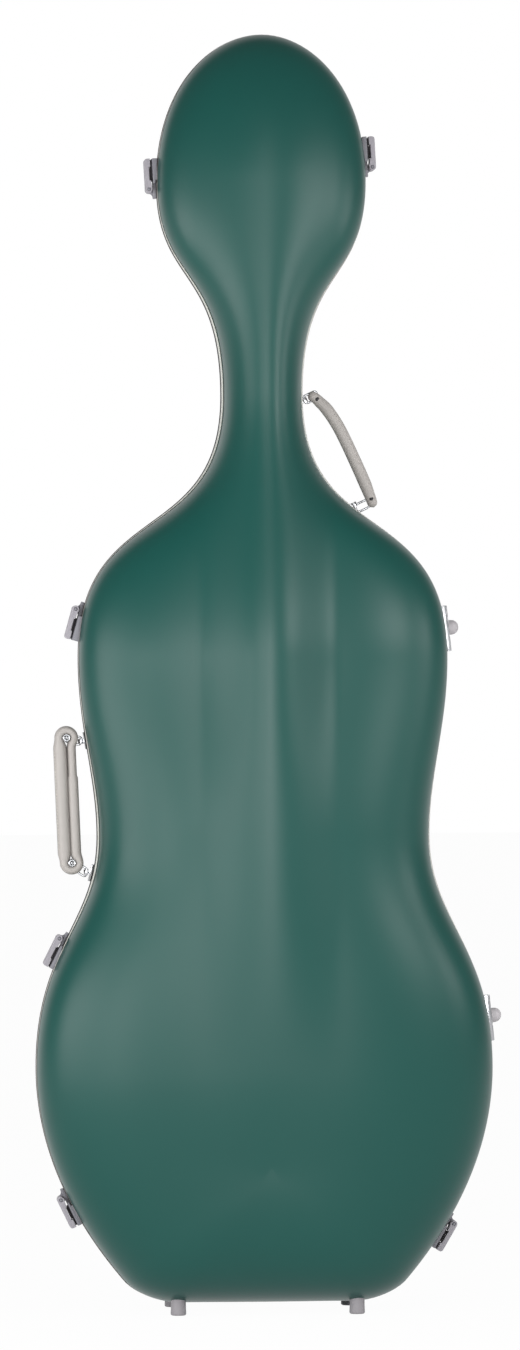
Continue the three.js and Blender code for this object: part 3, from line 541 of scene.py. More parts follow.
@dataclass
class PieceMaker:
    """Turns skins and the frame's nodes into finished pieces, and reports each."""

    flat_degrees: float = 1.0
    bevel_degrees: float = 32.0
    count: int = 0

    def finish_piece(self, piece: bpy.types.Object, body: str, finish: Finish,
                     replaced: Sequence[str], crease_degrees: float) -> bpy.types.Object:
        """Gives a piece its shading, material and body, and hides the nodes it stands for.

        Args:
            piece: the object.
            body: the body it rides on.
            finish: its finish.
            replaced: names of the frame's nodes that it replaces.
            crease_degrees: angle past which an edge stays sharp.

        Returns:
            The same object.
        """
        mesh = piece.data
        mesh.polygons.foreach_set("use_smooth", [True] * len(mesh.polygons))
        mesh.set_sharp_from_angle(angle=math.radians(crease_degrees))
        mesh.materials.clear()
        mesh.materials.append(finish.material())
        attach(piece, body)
        if replaced:
            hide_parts(*replaced)
        self.count += 1
        log.info("%s: %d faces, rides on %s", piece.name, len(mesh.polygons), body)
        return piece

    def build(self, name: str, skin: Skin, body: str, finish: Finish,
              replaced: Sequence[str] = (),
              crease_degrees: float = CREASE_DEGREES) -> bpy.types.Object:
        """Makes a closed piece from a skin, with its faces outwards.

        Args:
            name: the piece's name.
            skin: its points and faces.
            body: the body it rides on.
            finish: its finish.
            replaced: names of the frame's nodes that it replaces.
            crease_degrees: angle past which an edge stays sharp.

        Returns:
            The new object.
        """
        mesh = bpy.data.meshes.new(name)
        mesh.from_pydata(skin.points.tolist(), [], skin.faces.tolist())
        with edited(mesh) as work:
            bmesh.ops.dissolve_degenerate(work, edges=work.edges, dist=SLIVER)
            bmesh.ops.recalc_face_normals(work, faces=work.faces)
        return self.finish_piece(linked(name, mesh), body, finish, replaced, crease_degrees)

    def soften_node(self, node: str, finish: Finish, edge: float,
                    segments: int) -> bpy.types.Object:
        """Stands for a node with a copy whose edges are rounded.

        Args:
            node: the frame's node.
            finish: the copy's finish.
            edge: width of the rounding.
            segments: steps of the rounding.

        Returns:
            The new object, named after the node.
        """
        source = frame["nodes"][node]
        mesh = source.data.copy()
        with edited(mesh) as work:
            bmesh.ops.dissolve_limit(work, angle_limit=math.radians(self.flat_degrees),
                                     verts=work.verts, edges=work.edges)
        piece = linked(f"{node}_dressed", mesh)
        rounding = piece.modifiers.new("rounding", "BEVEL")
        rounding.width = edge
        rounding.segments = segments
        rounding.limit_method = "ANGLE"
        rounding.angle_limit = math.radians(self.bevel_degrees)
        graph = bpy.context.evaluated_depsgraph_get()
        graph.update()
        rounded = bpy.data.meshes.new_from_object(piece.evaluated_get(graph))
        rounded.name = piece.name
        piece.modifiers.clear()
        piece.data = rounded
        return self.finish_piece(piece, source["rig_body"], finish, [node], CREASE_DEGREES)


@dataclass
class SubAssembly:
    """A group of pieces that belong together, and the maker that finishes them."""

    maker: PieceMaker

    def build(self) -> None:
        """Builds the group's pieces."""
        raise NotImplementedError


# Lines and runs


def run_length(line: Array) -> Array:
    """Gives the distance along a line of points at each of them."""
    return np.r_[0, np.cumsum(np.linalg.norm(np.diff(line, axis=0), axis=1))]


def points_at(line: Array, steps: Array, places: Array) -> Array:
    """Gives a line's points at some places, from the distance along it at each of its own."""
    return np.stack([np.interp(places, steps, column) for column in line.T], axis=-1)


def unit(vectors: Array) -> Array:
    """Scales vectors, alone or in rows, to length 1."""
    return vectors / np.linalg.norm(vectors, axis=-1, keepdims=True)


def ease(share: Array) -> Array:
    """Softens a share s, 0 to 1, into s*s*(3 - 2s)."""
    return share * share * (3 - 2 * share)


def smooth_run(level: Array, stations: Sequence[Pair]) -> Array:
    """Runs smoothly through stations, eased between each two.

    Args:
        level: where to read the run.
        stations: pairs of level and value, from low to high.

    Returns:
        The value at each level.
    """
    levels, values = np.array(stations).T
    place = np.clip(np.searchsorted(levels, level) - 1, 0, len(levels) - 2)
    share = np.clip((level - levels[place]) / (levels[place + 1] - levels[place]), 0, 1)
    return values[place] + (values[place + 1] - values[place]) * ease(share)


def soft_clamp(value: Array, low: float, high: float, radius: float) -> Array:
    """Keeps a value v between limits l and h, with corners rounded over a radius r.

    It's (v + h - sqrt((v - h)^2 + r^2)) / 2 for the upper limit, and for the lower one
    (v + l + sqrt((v - l)^2 + r^2)) / 2.
    """
    upper = 0.5 * (value + high - np.sqrt((value - high) ** 2 + radius**2))
    return 0.5 * (upper + low + np.sqrt((upper - low) ** 2 + radius**2))


def smooth_line(stations: Sequence[Pair], count: int, window: int = 21) -> Array:
    """Runs a soft curve through stations, evenly stepped along its length.

    The line through the stations is stepped evenly, then averaged over a moving window that
    narrows to nothing at both ends.

    Args:
        stations: points of a plane.
        count: number of steps.
        window: places that each average takes.

    Returns:
        Points of shape count by 2.
    """
    corners = np.array(stations)
    steps = run_length(corners)
    even = np.linspace(0, steps[-1], count)
    reach = np.minimum(steps[-1] / len(corners), np.minimum(even, steps[-1] - even))
    places = even + np.linspace(-1, 1, window)[:, None] * reach
    return points_at(corners, steps, places).mean(axis=0)


# Outline and halves of the case


@dataclass(frozen=True)
class Outline:
    """The case's outline from the front, drawn as curves between its turns.

    Each stretch is a cubic curve between two turns. A turn is its full width and its share of
    the height; the corner and the base are a full width and a level. Shares say how far the
    two control points between lie along the stretch.
    """

    height: float = 1345 * MM
    head: Pair = (219 * MM, 0.885)
    neck: Pair = (81 * MM, 0.718)
    upper: Pair = (388 * MM, 0.513)
    waist: Pair = (346 * MM, 0.373)
    lower: Pair = (480 * MM, 0.192)
    corner: Pair = (296 * MM, 34 * MM)
    base: Pair = (184 * MM, 12 * MM)
    crown_shares: Pair = (0.46, 0.66)
    flank_shares: tuple[Pair, ...] = ((0.48, 0.62), (0.6, 0.62), (0.4, 0.34), (0.38, 0.53))
    base_flank_shares: Pair = (0.48, 0.16)
    corner_shares: Pair = (0.2, 0.4)
    corner_slope: float = 0.85
    base_centre_share: float = 0.112
    half_count: int = 260
    curve_steps: int = 160

    def turns(self) -> Array:
        """Gives the turns from head to lower bout, each its half width and its level."""
        turns = np.array([self.head, self.neck, self.upper, self.waist, self.lower])
        return turns * [0.5, self.height]

    def curves(self) -> Array:
        """Gives the four control points of each stretch, from the crown to the base.

        Returns:
            Points of shape stretches by 4 by 2.
        """
        out, up = np.eye(2)
        crown = self.height * up
        turns = self.turns()
        head, lower = turns[0], turns[-1]
        corner, base = np.array([self.corner, self.base]) * [0.5, 1.0]
        across, above = self.crown_shares
        arch = above * (crown[1] - head[1])
        stretches = [[crown, crown + across * head[0] * out, head + arch * up, head]]
        for start, end, (leave, arrive) in zip(turns, turns[1:], self.flank_shares):
            drop = (start[1] - end[1]) * up
            stretches.append([start, start - leave * drop, end + arrive * drop, end])
        slope = np.array([self.corner_slope, 1.0])
        leave, arrive = np.array(self.base_flank_shares) * (lower[1] - corner[1])
        stretches.append([lower, lower - leave * up, corner + arrive * slope, corner])
        leave, arrive = np.array(self.corner_shares) * (corner[0] - base[0])
        stretches.append([corner, corner - leave * slope, base + arrive * out, base])
        return np.array(stretches)

    def half_line(self) -> Array:
        """Gives even steps along the +X half, from the crown to the middle of the base.

        A cubic curve is the sum of its control points weighted by
        (1-t)^3, 3t(1-t)^2, 3t^2(1-t) and t^3.

        Returns:
            Points of shape half_count by 2.
        """
        t = np.linspace(0, 1, self.curve_steps)[:, None]
        weights = np.hstack([(1 - t) ** 3, 3 * t * (1 - t) ** 2, 3 * t * t * (1 - t), t**3])
        line = (weights @ self.curves()).reshape(-1, 2)
        line = np.vstack([line, [0.0, self.base[1]]])
        steps = run_length(line)
        keep = np.r_[True, np.diff(steps) > 0]
        even = np.linspace(0, steps[-1], self.half_count)
        return points_at(line[keep], steps[keep], even)

    def loop(self) -> tuple[Array, Array, Array]:
        """Gives the whole outline, clockwise from the crown.

        Returns:
            Points of shape n by 2, outward normals of shape n by 2, and the curvature,
            positive where the outline bulges.
        """
        right = self.half_line()
        points = np.vstack([right, right[-2:0:-1] * [-1, 1]])
        chord = np.roll(points, -1, axis=0) - np.roll(points, 1, axis=0)
        tangent = unit(chord)
        normals = np.column_stack([-tangent[:, 1], tangent[:, 0]])
        normals[0], normals[self.half_count - 1] = [0, 1], [0, -1]
        turn = np.roll(normals, -1, axis=0) - np.roll(normals, 1, axis=0)
        curvature = (turn * tangent).sum(axis=1) / np.linalg.norm(chord, axis=1)
        return points, normals, curvature


OUTLINE = Outline()
LOOP_POINTS, LOOP_NORMALS, LOOP_CURVATURE = OUTLINE.loop()
HEAD, NECK, UPPER, WAIST, LOWER = OUTLINE.turns()[:, 1]
BASE = OUTLINE.base[1]
SPINE_FOOT = 0.141 * OUTLINE.height


@dataclass(frozen=True)
class HalfShell:
    """One half of the case as a surface over the outline.

    From the seam the wall runs straight, then the section follows a rounded dome: with a turn t
    from 0 to a quarter circle, the distance from the middle line falls as cos(t)^k and the depth
    rises as sin(t)^k. The lid adds a spine, (1 - f^2)^2 across its half width f.
    """

    side: int
    stations: tuple[Pair, ...]
    spine: tuple[Pair, ...] = ()
    spine_half_width: float = 74 * MM
    dome_power: float = 0.77
    wall_straight: float = 15 * MM
    wall_rows: int = 3
    edge: float = 4.0 * MM
    clamp_radius: float = 60 * MM

    def middle_levels(self, inset: float) -> Array:
        """Gives the level on the middle line that each outline point's section runs to."""
        levels = LOOP_POINTS[:, 1] - LOOP_NORMALS[:, 1] * inset
        return soft_clamp(levels, OUTLINE.base_centre_share * OUTLINE.height, HEAD,
                          self.clamp_radius)

    def dome(self, inset: float, rows: int) -> Array:
        """Gives points of the half, from its edge at the seam to the middle line.

        Args:
            inset: distance inwards from the outer surface.
            rows: number of rows over the dome.

        Returns:
            Points of shape rows + wall_rows by outline count by 3, in the frame's axes.
        """
        rim = LOOP_POINTS - LOOP_NORMALS * inset
        middle = self.middle_levels(inset)
        turn = np.linspace(0, QUARTER, rows)[:, None]
        across = np.clip(np.cos(turn), 0, 1) ** self.dome_power
        across[-1] = 0
        rise = np.sin(turn) ** self.dome_power
        x = rim[:, 0] * across
        z = middle + (rim[:, 1] - middle) * across
        depth = smooth_run(middle, self.stations) - inset - self.wall_straight
        y = self.wall_straight + depth * rise
        if self.spine:
            fall = np.minimum(np.abs(x) / self.spine_half_width, 1)
            y = y + smooth_run(z, self.spine) * (1 - fall**2) ** 2 * rise
        levels = np.linspace(self.edge, self.wall_straight, self.wall_rows + 1)[:-1, None]
        wall = np.stack(np.broadcast_arrays(rim[:, 0], levels, rim[:, 1]), axis=-1)
        points = np.concatenate([wall, np.stack([x, y, z], axis=-1)])
        return points * [1, self.side, 1] + ORIGIN

    def closed(self, outer: float, inner: float, rows: int) -> Skin:
        """Gives a wall between two insets as one closed skin."""
        points = np.concatenate([self.dome(inner, rows)[::-1], self.dome(outer, rows)])
        return Skin.from_grid(points, wrap_rows=False, wrap_columns=True)


LID = HalfShell(
    side=-1,
    stations=((BASE, 98 * MM), (LOWER, 118 * MM), (WAIST, 112 * MM), (UPPER, 100 * MM),
              (NECK, 64 * MM), (HEAD, 80 * MM)),
    spine=((SPINE_FOOT, 0.0), (WAIST, 12 * MM), (UPPER, 24 * MM), (NECK, 22 * MM),
           (HEAD, 8 * MM), (OUTLINE.height, 0.0)),
)
BACK = HalfShell(
    side=1,
    stations=((BASE, 118 * MM), (LOWER, 150 * MM), (UPPER, 140 * MM), (NECK, 82 * MM),
              (HEAD, 96 * MM)),
)


@dataclass
class ShellHalf(SubAssembly):
    """A shell with its lining and its closing rim."""

    half: HalfShell
    body: Body
    rows: int = 56
    lining_rows: int = 36
    rim_proud: float = 2.2 * MM
    least_proud_share: float = 0.12
    rim_leg: float = 11 * MM
    rim_web: float = 2.4 * MM
    seam_half: float = 1.3 * MM
    rim_round: float = 0.7 * MM
    rim_crease_degrees: float = 30.0

    def build(self) -> None:
        """Builds the shell, the lining and the rim."""
        key, start = self.body.value, WALL + SEAT_GAP
        shell = self.half.closed(0.0, WALL, self.rows)
        lining = self.half.closed(start, start + LINING, self.lining_rows)
        for name, node, skin, finish, crease in (
            ("shell_moulding", "shell", shell, Finish.SHELL, CREASE_DEGREES),
            ("plush_lining", "lining", lining, Finish.LINING, CREASE_DEGREES),
            ("closing_rim", "rim", self.rim(), Finish.RIM, self.rim_crease_degrees),
        ):
            self.maker.build(f"{key}_{name}", skin, key, finish, [f"{key}_{node}"], crease)

    def rim(self) -> Skin:
        """Gives the rim: an L profile with rounded corners, carried round the outline.

        Returns:
            The skin.
        """
        inner, face = -WALL - SEAT_GAP, self.seam_half
        web, top = face + self.rim_web, face + self.rim_leg
        corners = [(inner, face), (self.rim_proud, face), (self.rim_proud, top),
                   (SEAT_GAP, top), (SEAT_GAP, web), (inner, web)]
        return band(rounded_profile(corners, self.rim_round), self.half.side,
                    self.least_proud_share)


def proud_scale(least: float, full_turn: float = 2.5, reach: int = 20) -> Array:
    """Gives the share of the full stand-out at each outline point.

    It is 1 where the outline is hollow and falls to the least share where it bulges, with the
    change smoothed by a moving weighted mean.

    Args:
        least: the share at the bulges.
        full_turn: curvature over which the whole change takes place.
        reach: outline points that the mean takes on either side.

    Returns:
        One share for each outline point.
    """
    hollow = np.clip(0.5 - LOOP_CURVATURE / full_turn, 0, 1)
    window = np.hanning(2 * reach + 1)
    padded = np.r_[hollow[-reach:], hollow, hollow[:reach]]
    smooth = np.convolve(padded, window / window.sum(), mode="valid")
    return least + (1 - least) * smooth


def band(profile: Array, side: int, least: float) -> Skin:
    """Carries a profile round the outline.

    Offsets beyond the seat gap are scaled by the stand-out share at each outline point.

    Args:
        profile: pairs of the offset outwards and the depth from the seam.
        side: -1 towards the lid, 1 towards the back.
        least: the stand-out share where the outline bulges.

    Returns:
        The skin.
    """
    offset, depth = profile.T[:, :, None]
    proud = SEAT_GAP + (offset - SEAT_GAP) * proud_scale(least)
    offset = np.where(offset > SEAT_GAP, proud, offset)
    x = LOOP_POINTS[:, 0] + LOOP_NORMALS[:, 0] * offset
    z = LOOP_POINTS[:, 1] + LOOP_NORMALS[:, 1] * offset
    points = np.stack([x, side * depth + 0 * x, z], axis=-1) + ORIGIN
    return Skin.from_grid(points, wrap_rows=True, wrap_columns=True)


def rounded_profile(corners: Sequence[Pair], radius: float, steps: int = 4) -> Array:
    """Rounds each corner of a closed outline with a curve that starts radius away from it.

    The curve is the quadratic one, weights (1-t)^2, 2t(1-t) and t^2.

    Args:
        corners: the outline's corners in order.
        radius: how far from a corner its curve starts, at most 0.45 of the side.
        steps: points to a corner.

    Returns:
        Points of shape corners times steps by 2.
    """
    points = np.array(corners)

    def towards(target: Array) -> Array:
        """Point on the way to a neighbour, at most radius away."""
        length = np.linalg.norm(target - points, axis=1, keepdims=True)
        return points + (target - points) / length * np.minimum(radius, 0.45 * length)

    start = towards(np.roll(points, 1, axis=0))[:, None]
    end = towards(np.roll(points, -1, axis=0))[:, None]
    t = np.linspace(0, 1, steps)[None, :, None]
    return ((1 - t) ** 2 * start + 2 * t * (1 - t) * points[:, None] + t**2 * end).reshape(-1, 2)


@dataclass
class Seal(SubAssembly):
    """The black sealing strip between the rims."""

    half_thickness: float = 1.0 * MM
    proud: float = 3.0 * MM
    least_proud_share: float = 0.3
    round: float = 0.6 * MM

    def build(self) -> None:
        """Builds the strip."""
        inner, h = -WALL - SEAT_GAP, self.half_thickness
        corners = [(inner, -h), (self.proud, -h), (self.proud, h), (inner, h)]
        strip = band(rounded_profile(corners, self.round), 1, self.least_proud_share)
        self.maker.build("seam_seal_strip", strip, Body.BACK.value, Finish.SEAL, ["seam_seal"])


# Round and padded forms


def signed_power(value: Array, power: float) -> Array:
    """Raises a value's size to a power and keeps its sign."""
    return np.sign(value) * np.abs(value) ** power


def full_circle(count: int) -> Array:
    """Gives evenly spaced angles round a circle."""
    return np.linspace(0, 2 * np.pi, count, endpoint=False)


@dataclass(frozen=True)
class Placement:
    """A local frame: an origin and three axes at right angles."""

    origin: Array
    across: Array
    along: Array
    out: Array

    def put(self, local: Array) -> Array:
        """Turns local coordinates (across, along, out) into the frame's axes."""
        return self.origin + local @ np.stack([self.across, self.along, self.out])


def block(place: Placement, across: Pair, along: Pair, out: Pair) -> Skin:
    """Gives a block with rounded edges between three pairs of limits in a placement's axes.

    With v from end to end and u round it, along = cos(v)^a, across = sin(v)^a * cos(u)^b and
    out = sin(v)^a * sin(u)^b, each times half its size, for a small a and b.

    Args:
        place: where it lies.
        across: limits across.
        along: limits along.
        out: limits outwards.

    Returns:
        The closed skin.
    """
    end_power, section_power = 0.1, 0.2
    limits = np.array([across, along, out])
    v, u = np.linspace(0, np.pi, 24)[:, None], full_circle(32)
    ring = np.sin(v) ** end_power
    ring[[0, -1]] = 0
    sides = (ring * signed_power(np.cos(u), section_power),
             signed_power(np.cos(v), end_power) + 0 * u,
             ring * signed_power(np.sin(u), section_power))
    local = np.stack(sides, axis=-1) * np.ptp(limits, axis=1) / 2
    return Skin.from_grid(place.put(local + limits.mean(axis=1)), wrap_rows=False,
                          wrap_columns=True)


def tube(path: Array, radius: Array, side_hint: Array, columns: int,
         closed: bool = False) -> Skin:
    """Carries a circle along a path.

    At each point the circle lies square to the path: one axis is the hint made square to the
    tangent, the other the product of both.

    Args:
        path: points of shape n by 3.
        radius: radius at each point; 0 at the ends closes them.
        side_hint: a direction that is never along the path.
        columns: points round the circle.
        closed: whether the path's end joins its start.

    Returns:
        The skin.
    """
    ahead = np.roll(path, -1, axis=0) - np.roll(path, 1, axis=0)
    tangent = unit(ahead if closed else np.gradient(path, axis=0))
    first = unit(side_hint - tangent * (tangent @ side_hint)[:, None])
    second = np.cross(tangent, first)
    u = full_circle(columns)[:, None]
    circle = first[:, None] * np.cos(u) + second[:, None] * np.sin(u)
    return Skin.from_grid(path[:, None] + circle * radius[:, None, None], closed,
                          wrap_columns=True)


def revolve(profile: Array, place: Placement, columns: int, closed: bool = False) -> Skin:
    """Turns a profile about a placement's out axis.

    Args:
        profile: pairs of radius and height.
        place: where it lies.
        columns: points round the axis.
        closed: whether the profile's end joins its start.

    Returns:
        The skin.
    """
    u = full_circle(columns)
    radius, height = profile.T[:, :, None]
    local = np.stack([radius * np.cos(u), radius * np.sin(u), height + 0 * u], axis=-1)
    return Skin.from_grid(place.put(local), closed, wrap_columns=True)


def dome_profile(radius: float, height: float, sunk: float, steps: int) -> Array:
    """Gives the profile of a button: a quarter ellipse on a short stem below the face.

    Args:
        radius: the button's radius.
        height: how far it stands out.
        sunk: how far its stem goes in.
        steps: points over the quarter ellipse.

    Returns:
        Pairs of radius and height.
    """
    turn = np.linspace(0, QUARTER, steps)
    dome = np.column_stack([radius * np.cos(turn), height * np.sin(turn)])
    return np.vstack([[0, -sunk], [radius, -sunk], dome])


def joint_named(name: str) -> dict:
    """Gives one of the frame's joints."""
    return next(joint for joint in frame["joints"] if joint["name"] == name)


# Handles


@dataclass
class Handle(SubAssembly):
    """The swing axis of a handle with its two eyes, and the wire loops that hang in them."""

    body: Body
    hand: HandSide
    span: float
    wire_radius: float = 1.2 * MM
    loop_width: float = 8.4 * MM
    loop_power: float = 0.42
    loop_steps: int = 72

    def axes(self) -> tuple[Array, Array, Array, Array]:
        """Reads the axis from the frame's joint.

        Returns:
            The upper eye, the lower eye, the direction up the axis and the way out.
        """
        joint = joint_named(f"{self.body.value}_swing")
        upper, along = np.array(joint["pos_m"]), unit(np.array(joint["axis"]))
        lower = upper - along * (self.span / along[2])
        return upper, lower, along, self.hand.value * np.array([along[2], 0.0, -along[0]])

    def add_wire(self, name: str, eye: Array, along: Array, out: Array, reach: float) -> None:
        """Builds a loop of wire from an eye outwards.

        A circle is carried round the superellipse of cos(u)^p and sin(u)^p for a small p,
        stepped evenly.

        Args:
            name: which end it is at.
            eye: the eye it hangs in.
            along: the direction of its width.
            out: the direction of its reach.
            reach: how far it goes out.
        """
        u = full_circle(self.loop_steps)[:, None]
        wide = signed_power(np.cos(u), self.loop_power) * self.loop_width / 2
        far = reach / 2 + signed_power(np.sin(u), self.loop_power) * reach / 2
        path = eye + along * wide + out * far
        looped = np.vstack([path, path[:1]])
        steps = run_length(looped)
        even = np.linspace(0, steps[-1], self.loop_steps, endpoint=False)
        path = points_at(looped, steps, even)
        loop = tube(path, np.full(len(path), self.wire_radius), DEPTH, columns=12, closed=True)
        body = self.body.value
        self.maker.build(f"{body}_wire_{name}", loop, body, Finish.STEEL, [f"{body}_loop_{name}"])


@dataclass
class CarryHandle(Handle):
    """The waist handle: a padded strap folded round two wire loops, its end in a sleeve."""

    body: Body = Body.CARRY_HANDLE
    hand: HandSide = HandSide.LEFT
    span: float = 140 * MM
    rise: float = 8.5 * MM
    eye_reach: float = 15.5 * MM
    eye_spread: float = 132 * MM
    eye_radius: float = 3.0 * MM
    eyelet_wall: Pair = (-0.9 * MM, 0.1 * MM)
    eyelet_lip: float = 1.1 * MM
    eyelet_round: float = 0.5 * MM
    outer_thickness: float = 14.2 * MM
    inner_thickness: float = 9.6 * MM
    end_thickness: float = 9.5 * MM
    settle_share: float = 0.16
    sleeve_gain: float = 2.0 * MM
    sleeve_share: float = 0.31
    sleeve_edge: float = 0.35 * MM
    width: float = 24 * MM
    width_swell: float = 0.1
    section_power: float = 0.75
    bend_steps: int = 26
    run_steps: int = 58
    stitch_pitch: float = 3.4 * MM
    stitch_half: float = 0.32
    stitch_margin: float = 24 * MM
    stitch_side: float = 0.36
    stitch_level: float = 0.93
    thread: float = 0.7 * MM

    def build(self) -> None:
        """Builds the folded strap, its eyelets and stitching, and the wire loops."""
        upper, lower, along, out = self.axes()
        middle = (upper + lower) / 2 + along * self.rise + out * self.eye_reach
        place = Placement(middle, DEPTH, along, out)
        body = self.body.value
        nodes = ["carry_handle_grip", "carry_handle_strap"]
        strap = self.maker.build("carry_handle_folded_strap", self.strap(place), body,
                                 Finish.LEATHER, nodes)
        for eye, sign, name in ((upper, 1, "upper"), (lower, -1, "lower")):
            centre = middle + along * sign * self.eye_spread / 2
            eyelet = self.eyelet(Placement(centre, out, along, DEPTH))
            self.maker.build(f"carry_handle_eyelet_{name}", eyelet, body, Finish.STEEL)
            way = centre - eye
            reach = np.linalg.norm(way)
            square = np.array([way[2], 0.0, -way[0]]) / reach
            self.add_wire(name, eye, square, way / reach, reach)
        self.maker.build("carry_handle_stitching", self.stitching(place), body, Finish.THREAD)

    def strap(self, place: Placement) -> Skin:
        """Gives the folded strap: a section carried round two straight runs and two half circles.

        Away from the eyelets both runs ease to where they touch, and the inner run thickens
        where the sleeve starts. The section is the superellipse of cos(u)^p and sin(u)^p.

        Args:
            place: the point between the eyelets, with the ways up the handle and outwards.

        Returns:
            The skin.
        """
        half, end = self.eye_spread / 2, self.end_thickness
        radius = self.eye_radius + end / 2
        bend = np.linspace(-QUARTER, QUARTER, self.bend_steps)
        top = radius * np.column_stack([np.cos(bend), -np.sin(bend)]) + [half, 0]
        run = np.linspace(-half, half, self.run_steps + 2)[1:-1]
        settle = ease(np.clip((half - np.abs(run)) / (self.settle_share * half), 0, 1))
        inner = -radius + (radius - self.inner_thickness / 2) * settle
        outer = radius + (self.outer_thickness / 2 - radius) * settle
        flat = np.concatenate([top, np.column_stack([-run, inner]), -top,
                               np.column_stack([run, outer])])
        past = half * (1 - 2 * self.sleeve_share) + run
        sleeve = self.sleeve_gain / (1 + np.exp(-past / self.sleeve_edge))
        bends = np.full(len(top), end)
        thickness = np.concatenate([
            bends, end + (self.inner_thickness - end + sleeve) * settle,
            bends, end + (self.outer_thickness - end) * settle,
        ])
        tangent = unit(np.roll(flat, -1, axis=0) - np.roll(flat, 1, axis=0))
        path = place.origin + flat[:, :1] * place.along + flat[:, 1:] * place.out
        outward = tangent[:, 1:] * place.along - tangent[:, :1] * place.out
        swell = self.width_swell * (thickness / self.outer_thickness - 1)
        width = self.width * (1 + swell)
        u = full_circle(36)[:, None]
        thin = signed_power(np.cos(u), self.section_power) * thickness[:, None, None] / 2
        deep = signed_power(np.sin(u), self.section_power) * width[:, None, None] / 2
        points = path[:, None] + outward[:, None] * thin + DEPTH * deep
        return Skin.from_grid(points, wrap_rows=True, wrap_columns=True)

    def eyelet(self, place: Placement) -> Skin:
        """Gives the tube that lines an eye, with a rolled lip at both faces.

        Args:
            place: the eye's middle, with its axis outwards.

        Returns:
            The skin.
        """
        half, lip = self.width / 2, self.eyelet_lip
        bore, wall = (self.eye_radius + part for part in self.eyelet_wall)
        face = [(bore, half), (wall, half + lip / 2), (wall + lip, half), (wall, half - lip)]
        profile = [(radius, -height) for radius, height in face] + face[::-1]
        rounded = rounded_profile(profile, self.eyelet_round)
        return revolve(rounded, place, columns=32, closed=True)

    def stitching(self, place: Placement) -> Skin:
        """Gives a row of stitches down each side of the outer run, each a thin rounded bar.

        Args:
            place: the point between the eyelets, with the ways up the handle and outwards.

        Returns:
            All stitches as one skin.
        """
        count = int((self.eye_spread - self.stitch_margin) / self.stitch_pitch)
        levels = (np.arange(count) - (count - 1) / 2) * self.stitch_pitch
        bar = np.linspace(-1, 1, 5)[:, None] * self.stitch_half * self.stitch_pitch
        radius = self.thread / 2 * np.sqrt(np.sin(np.linspace(0, np.pi, len(bar))))
        radius[[0, -1]] = 0
        hint = np.array([0.31, 0.87, 0.38])
        face = place.origin + place.out * (self.outer_thickness * self.stitch_level)
        return join_skins([
            tube(face + DEPTH * hand.value * self.width * self.stitch_side
                 + place.along * (level + bar), radius, hint, columns=6)
            for hand in HandSide for level in levels
        ])


@dataclass
class NeckHandle(Handle):
    """The neck handle: one padded tube that bows outwards, folded round a wire at each end.

    Its stations are pairs of the run down from the upper eye and the stand-out.
    """

    body: Body = Body.NECK_HANDLE
    hand: HandSide = HandSide.RIGHT
    span: float = 115 * MM
    radius: float = 6.6 * MM
    stations: tuple[Pair, ...] = (
        (-3.5 * MM, 5.5 * MM), (3 * MM, 13.2 * MM), (15 * MM, 16.8 * MM), (32 * MM, 20.3 * MM),
        (53 * MM, 21.2 * MM), (76 * MM, 20.9 * MM), (98 * MM, 20.6 * MM), (120 * MM, 19.6 * MM),
        (134 * MM, 17.6 * MM),
    )
    end_share: float = 0.78
    swell_radii: float = 4.0
    cap_radii: float = 0.8
    reach: float = 15 * MM
    # a dark dome of painted shade stands for the shaded mouth of each fold
    fold_shade_radius: float = 2.4 * MM
    fold_shade_proud: float = 1.1 * MM
    fold_shade_sunk: float = 1.0 * MM
    fold_shade_face: float = 0.86
    fold_shade_step: int = 7
    steps: int = 90

    def build(self) -> None:
        """Builds the tube, a dark dome of painted shade in the mouth of each fold, and the loops.

        The tube swells from each end over some radii, and closes with a round cap.
        """
        upper, lower, along, out = self.axes()
        body = self.body.value
        line = smooth_line(self.stations, self.steps)
        path = upper - along * line[:, :1] + out * line[:, 1:]
        share = np.linspace(0, 1, self.steps)
        near = np.minimum(share, 1 - share) * run_length(path)[-1] / self.radius
        swell = np.clip(near / self.swell_radii, 0, 1)
        close = np.clip(near / self.cap_radii, 0, 1)
        radius = self.radius * (self.end_share + (1 - self.end_share) * swell)
        radius = radius * np.sqrt(np.clip(1 - (1 - close) ** 2, 0, 1))
        radius[[0, -1]] = 0
        skin = tube(path, radius, DEPTH, columns=40)
        grip = self.maker.build("neck_handle_leather_tube", skin, body, Finish.LEATHER,
                                ["neck_handle_grip"])
        for eye, name in ((upper, "upper"), (lower, "lower")):
            self.add_wire(name, eye, along, out, self.reach)
        # the folds' mouths are shown by black domes: painted shade
        profile = dome_profile(self.fold_shade_radius, self.fold_shade_proud, self.fold_shade_sunk, steps=6)
        for index, name in ((self.fold_shade_step, "upper"), (-self.fold_shade_step, "lower")):
            front = path[index] - DEPTH * radius[index] * self.fold_shade_face
            painted_fold_shade = revolve(profile, Placement(front, along, out, -DEPTH), columns=24)
            self.maker.build(f"neck_handle_mouth_{name}", painted_fold_shade, body, Finish.PLASTIC)


# Feet, pads and fittings


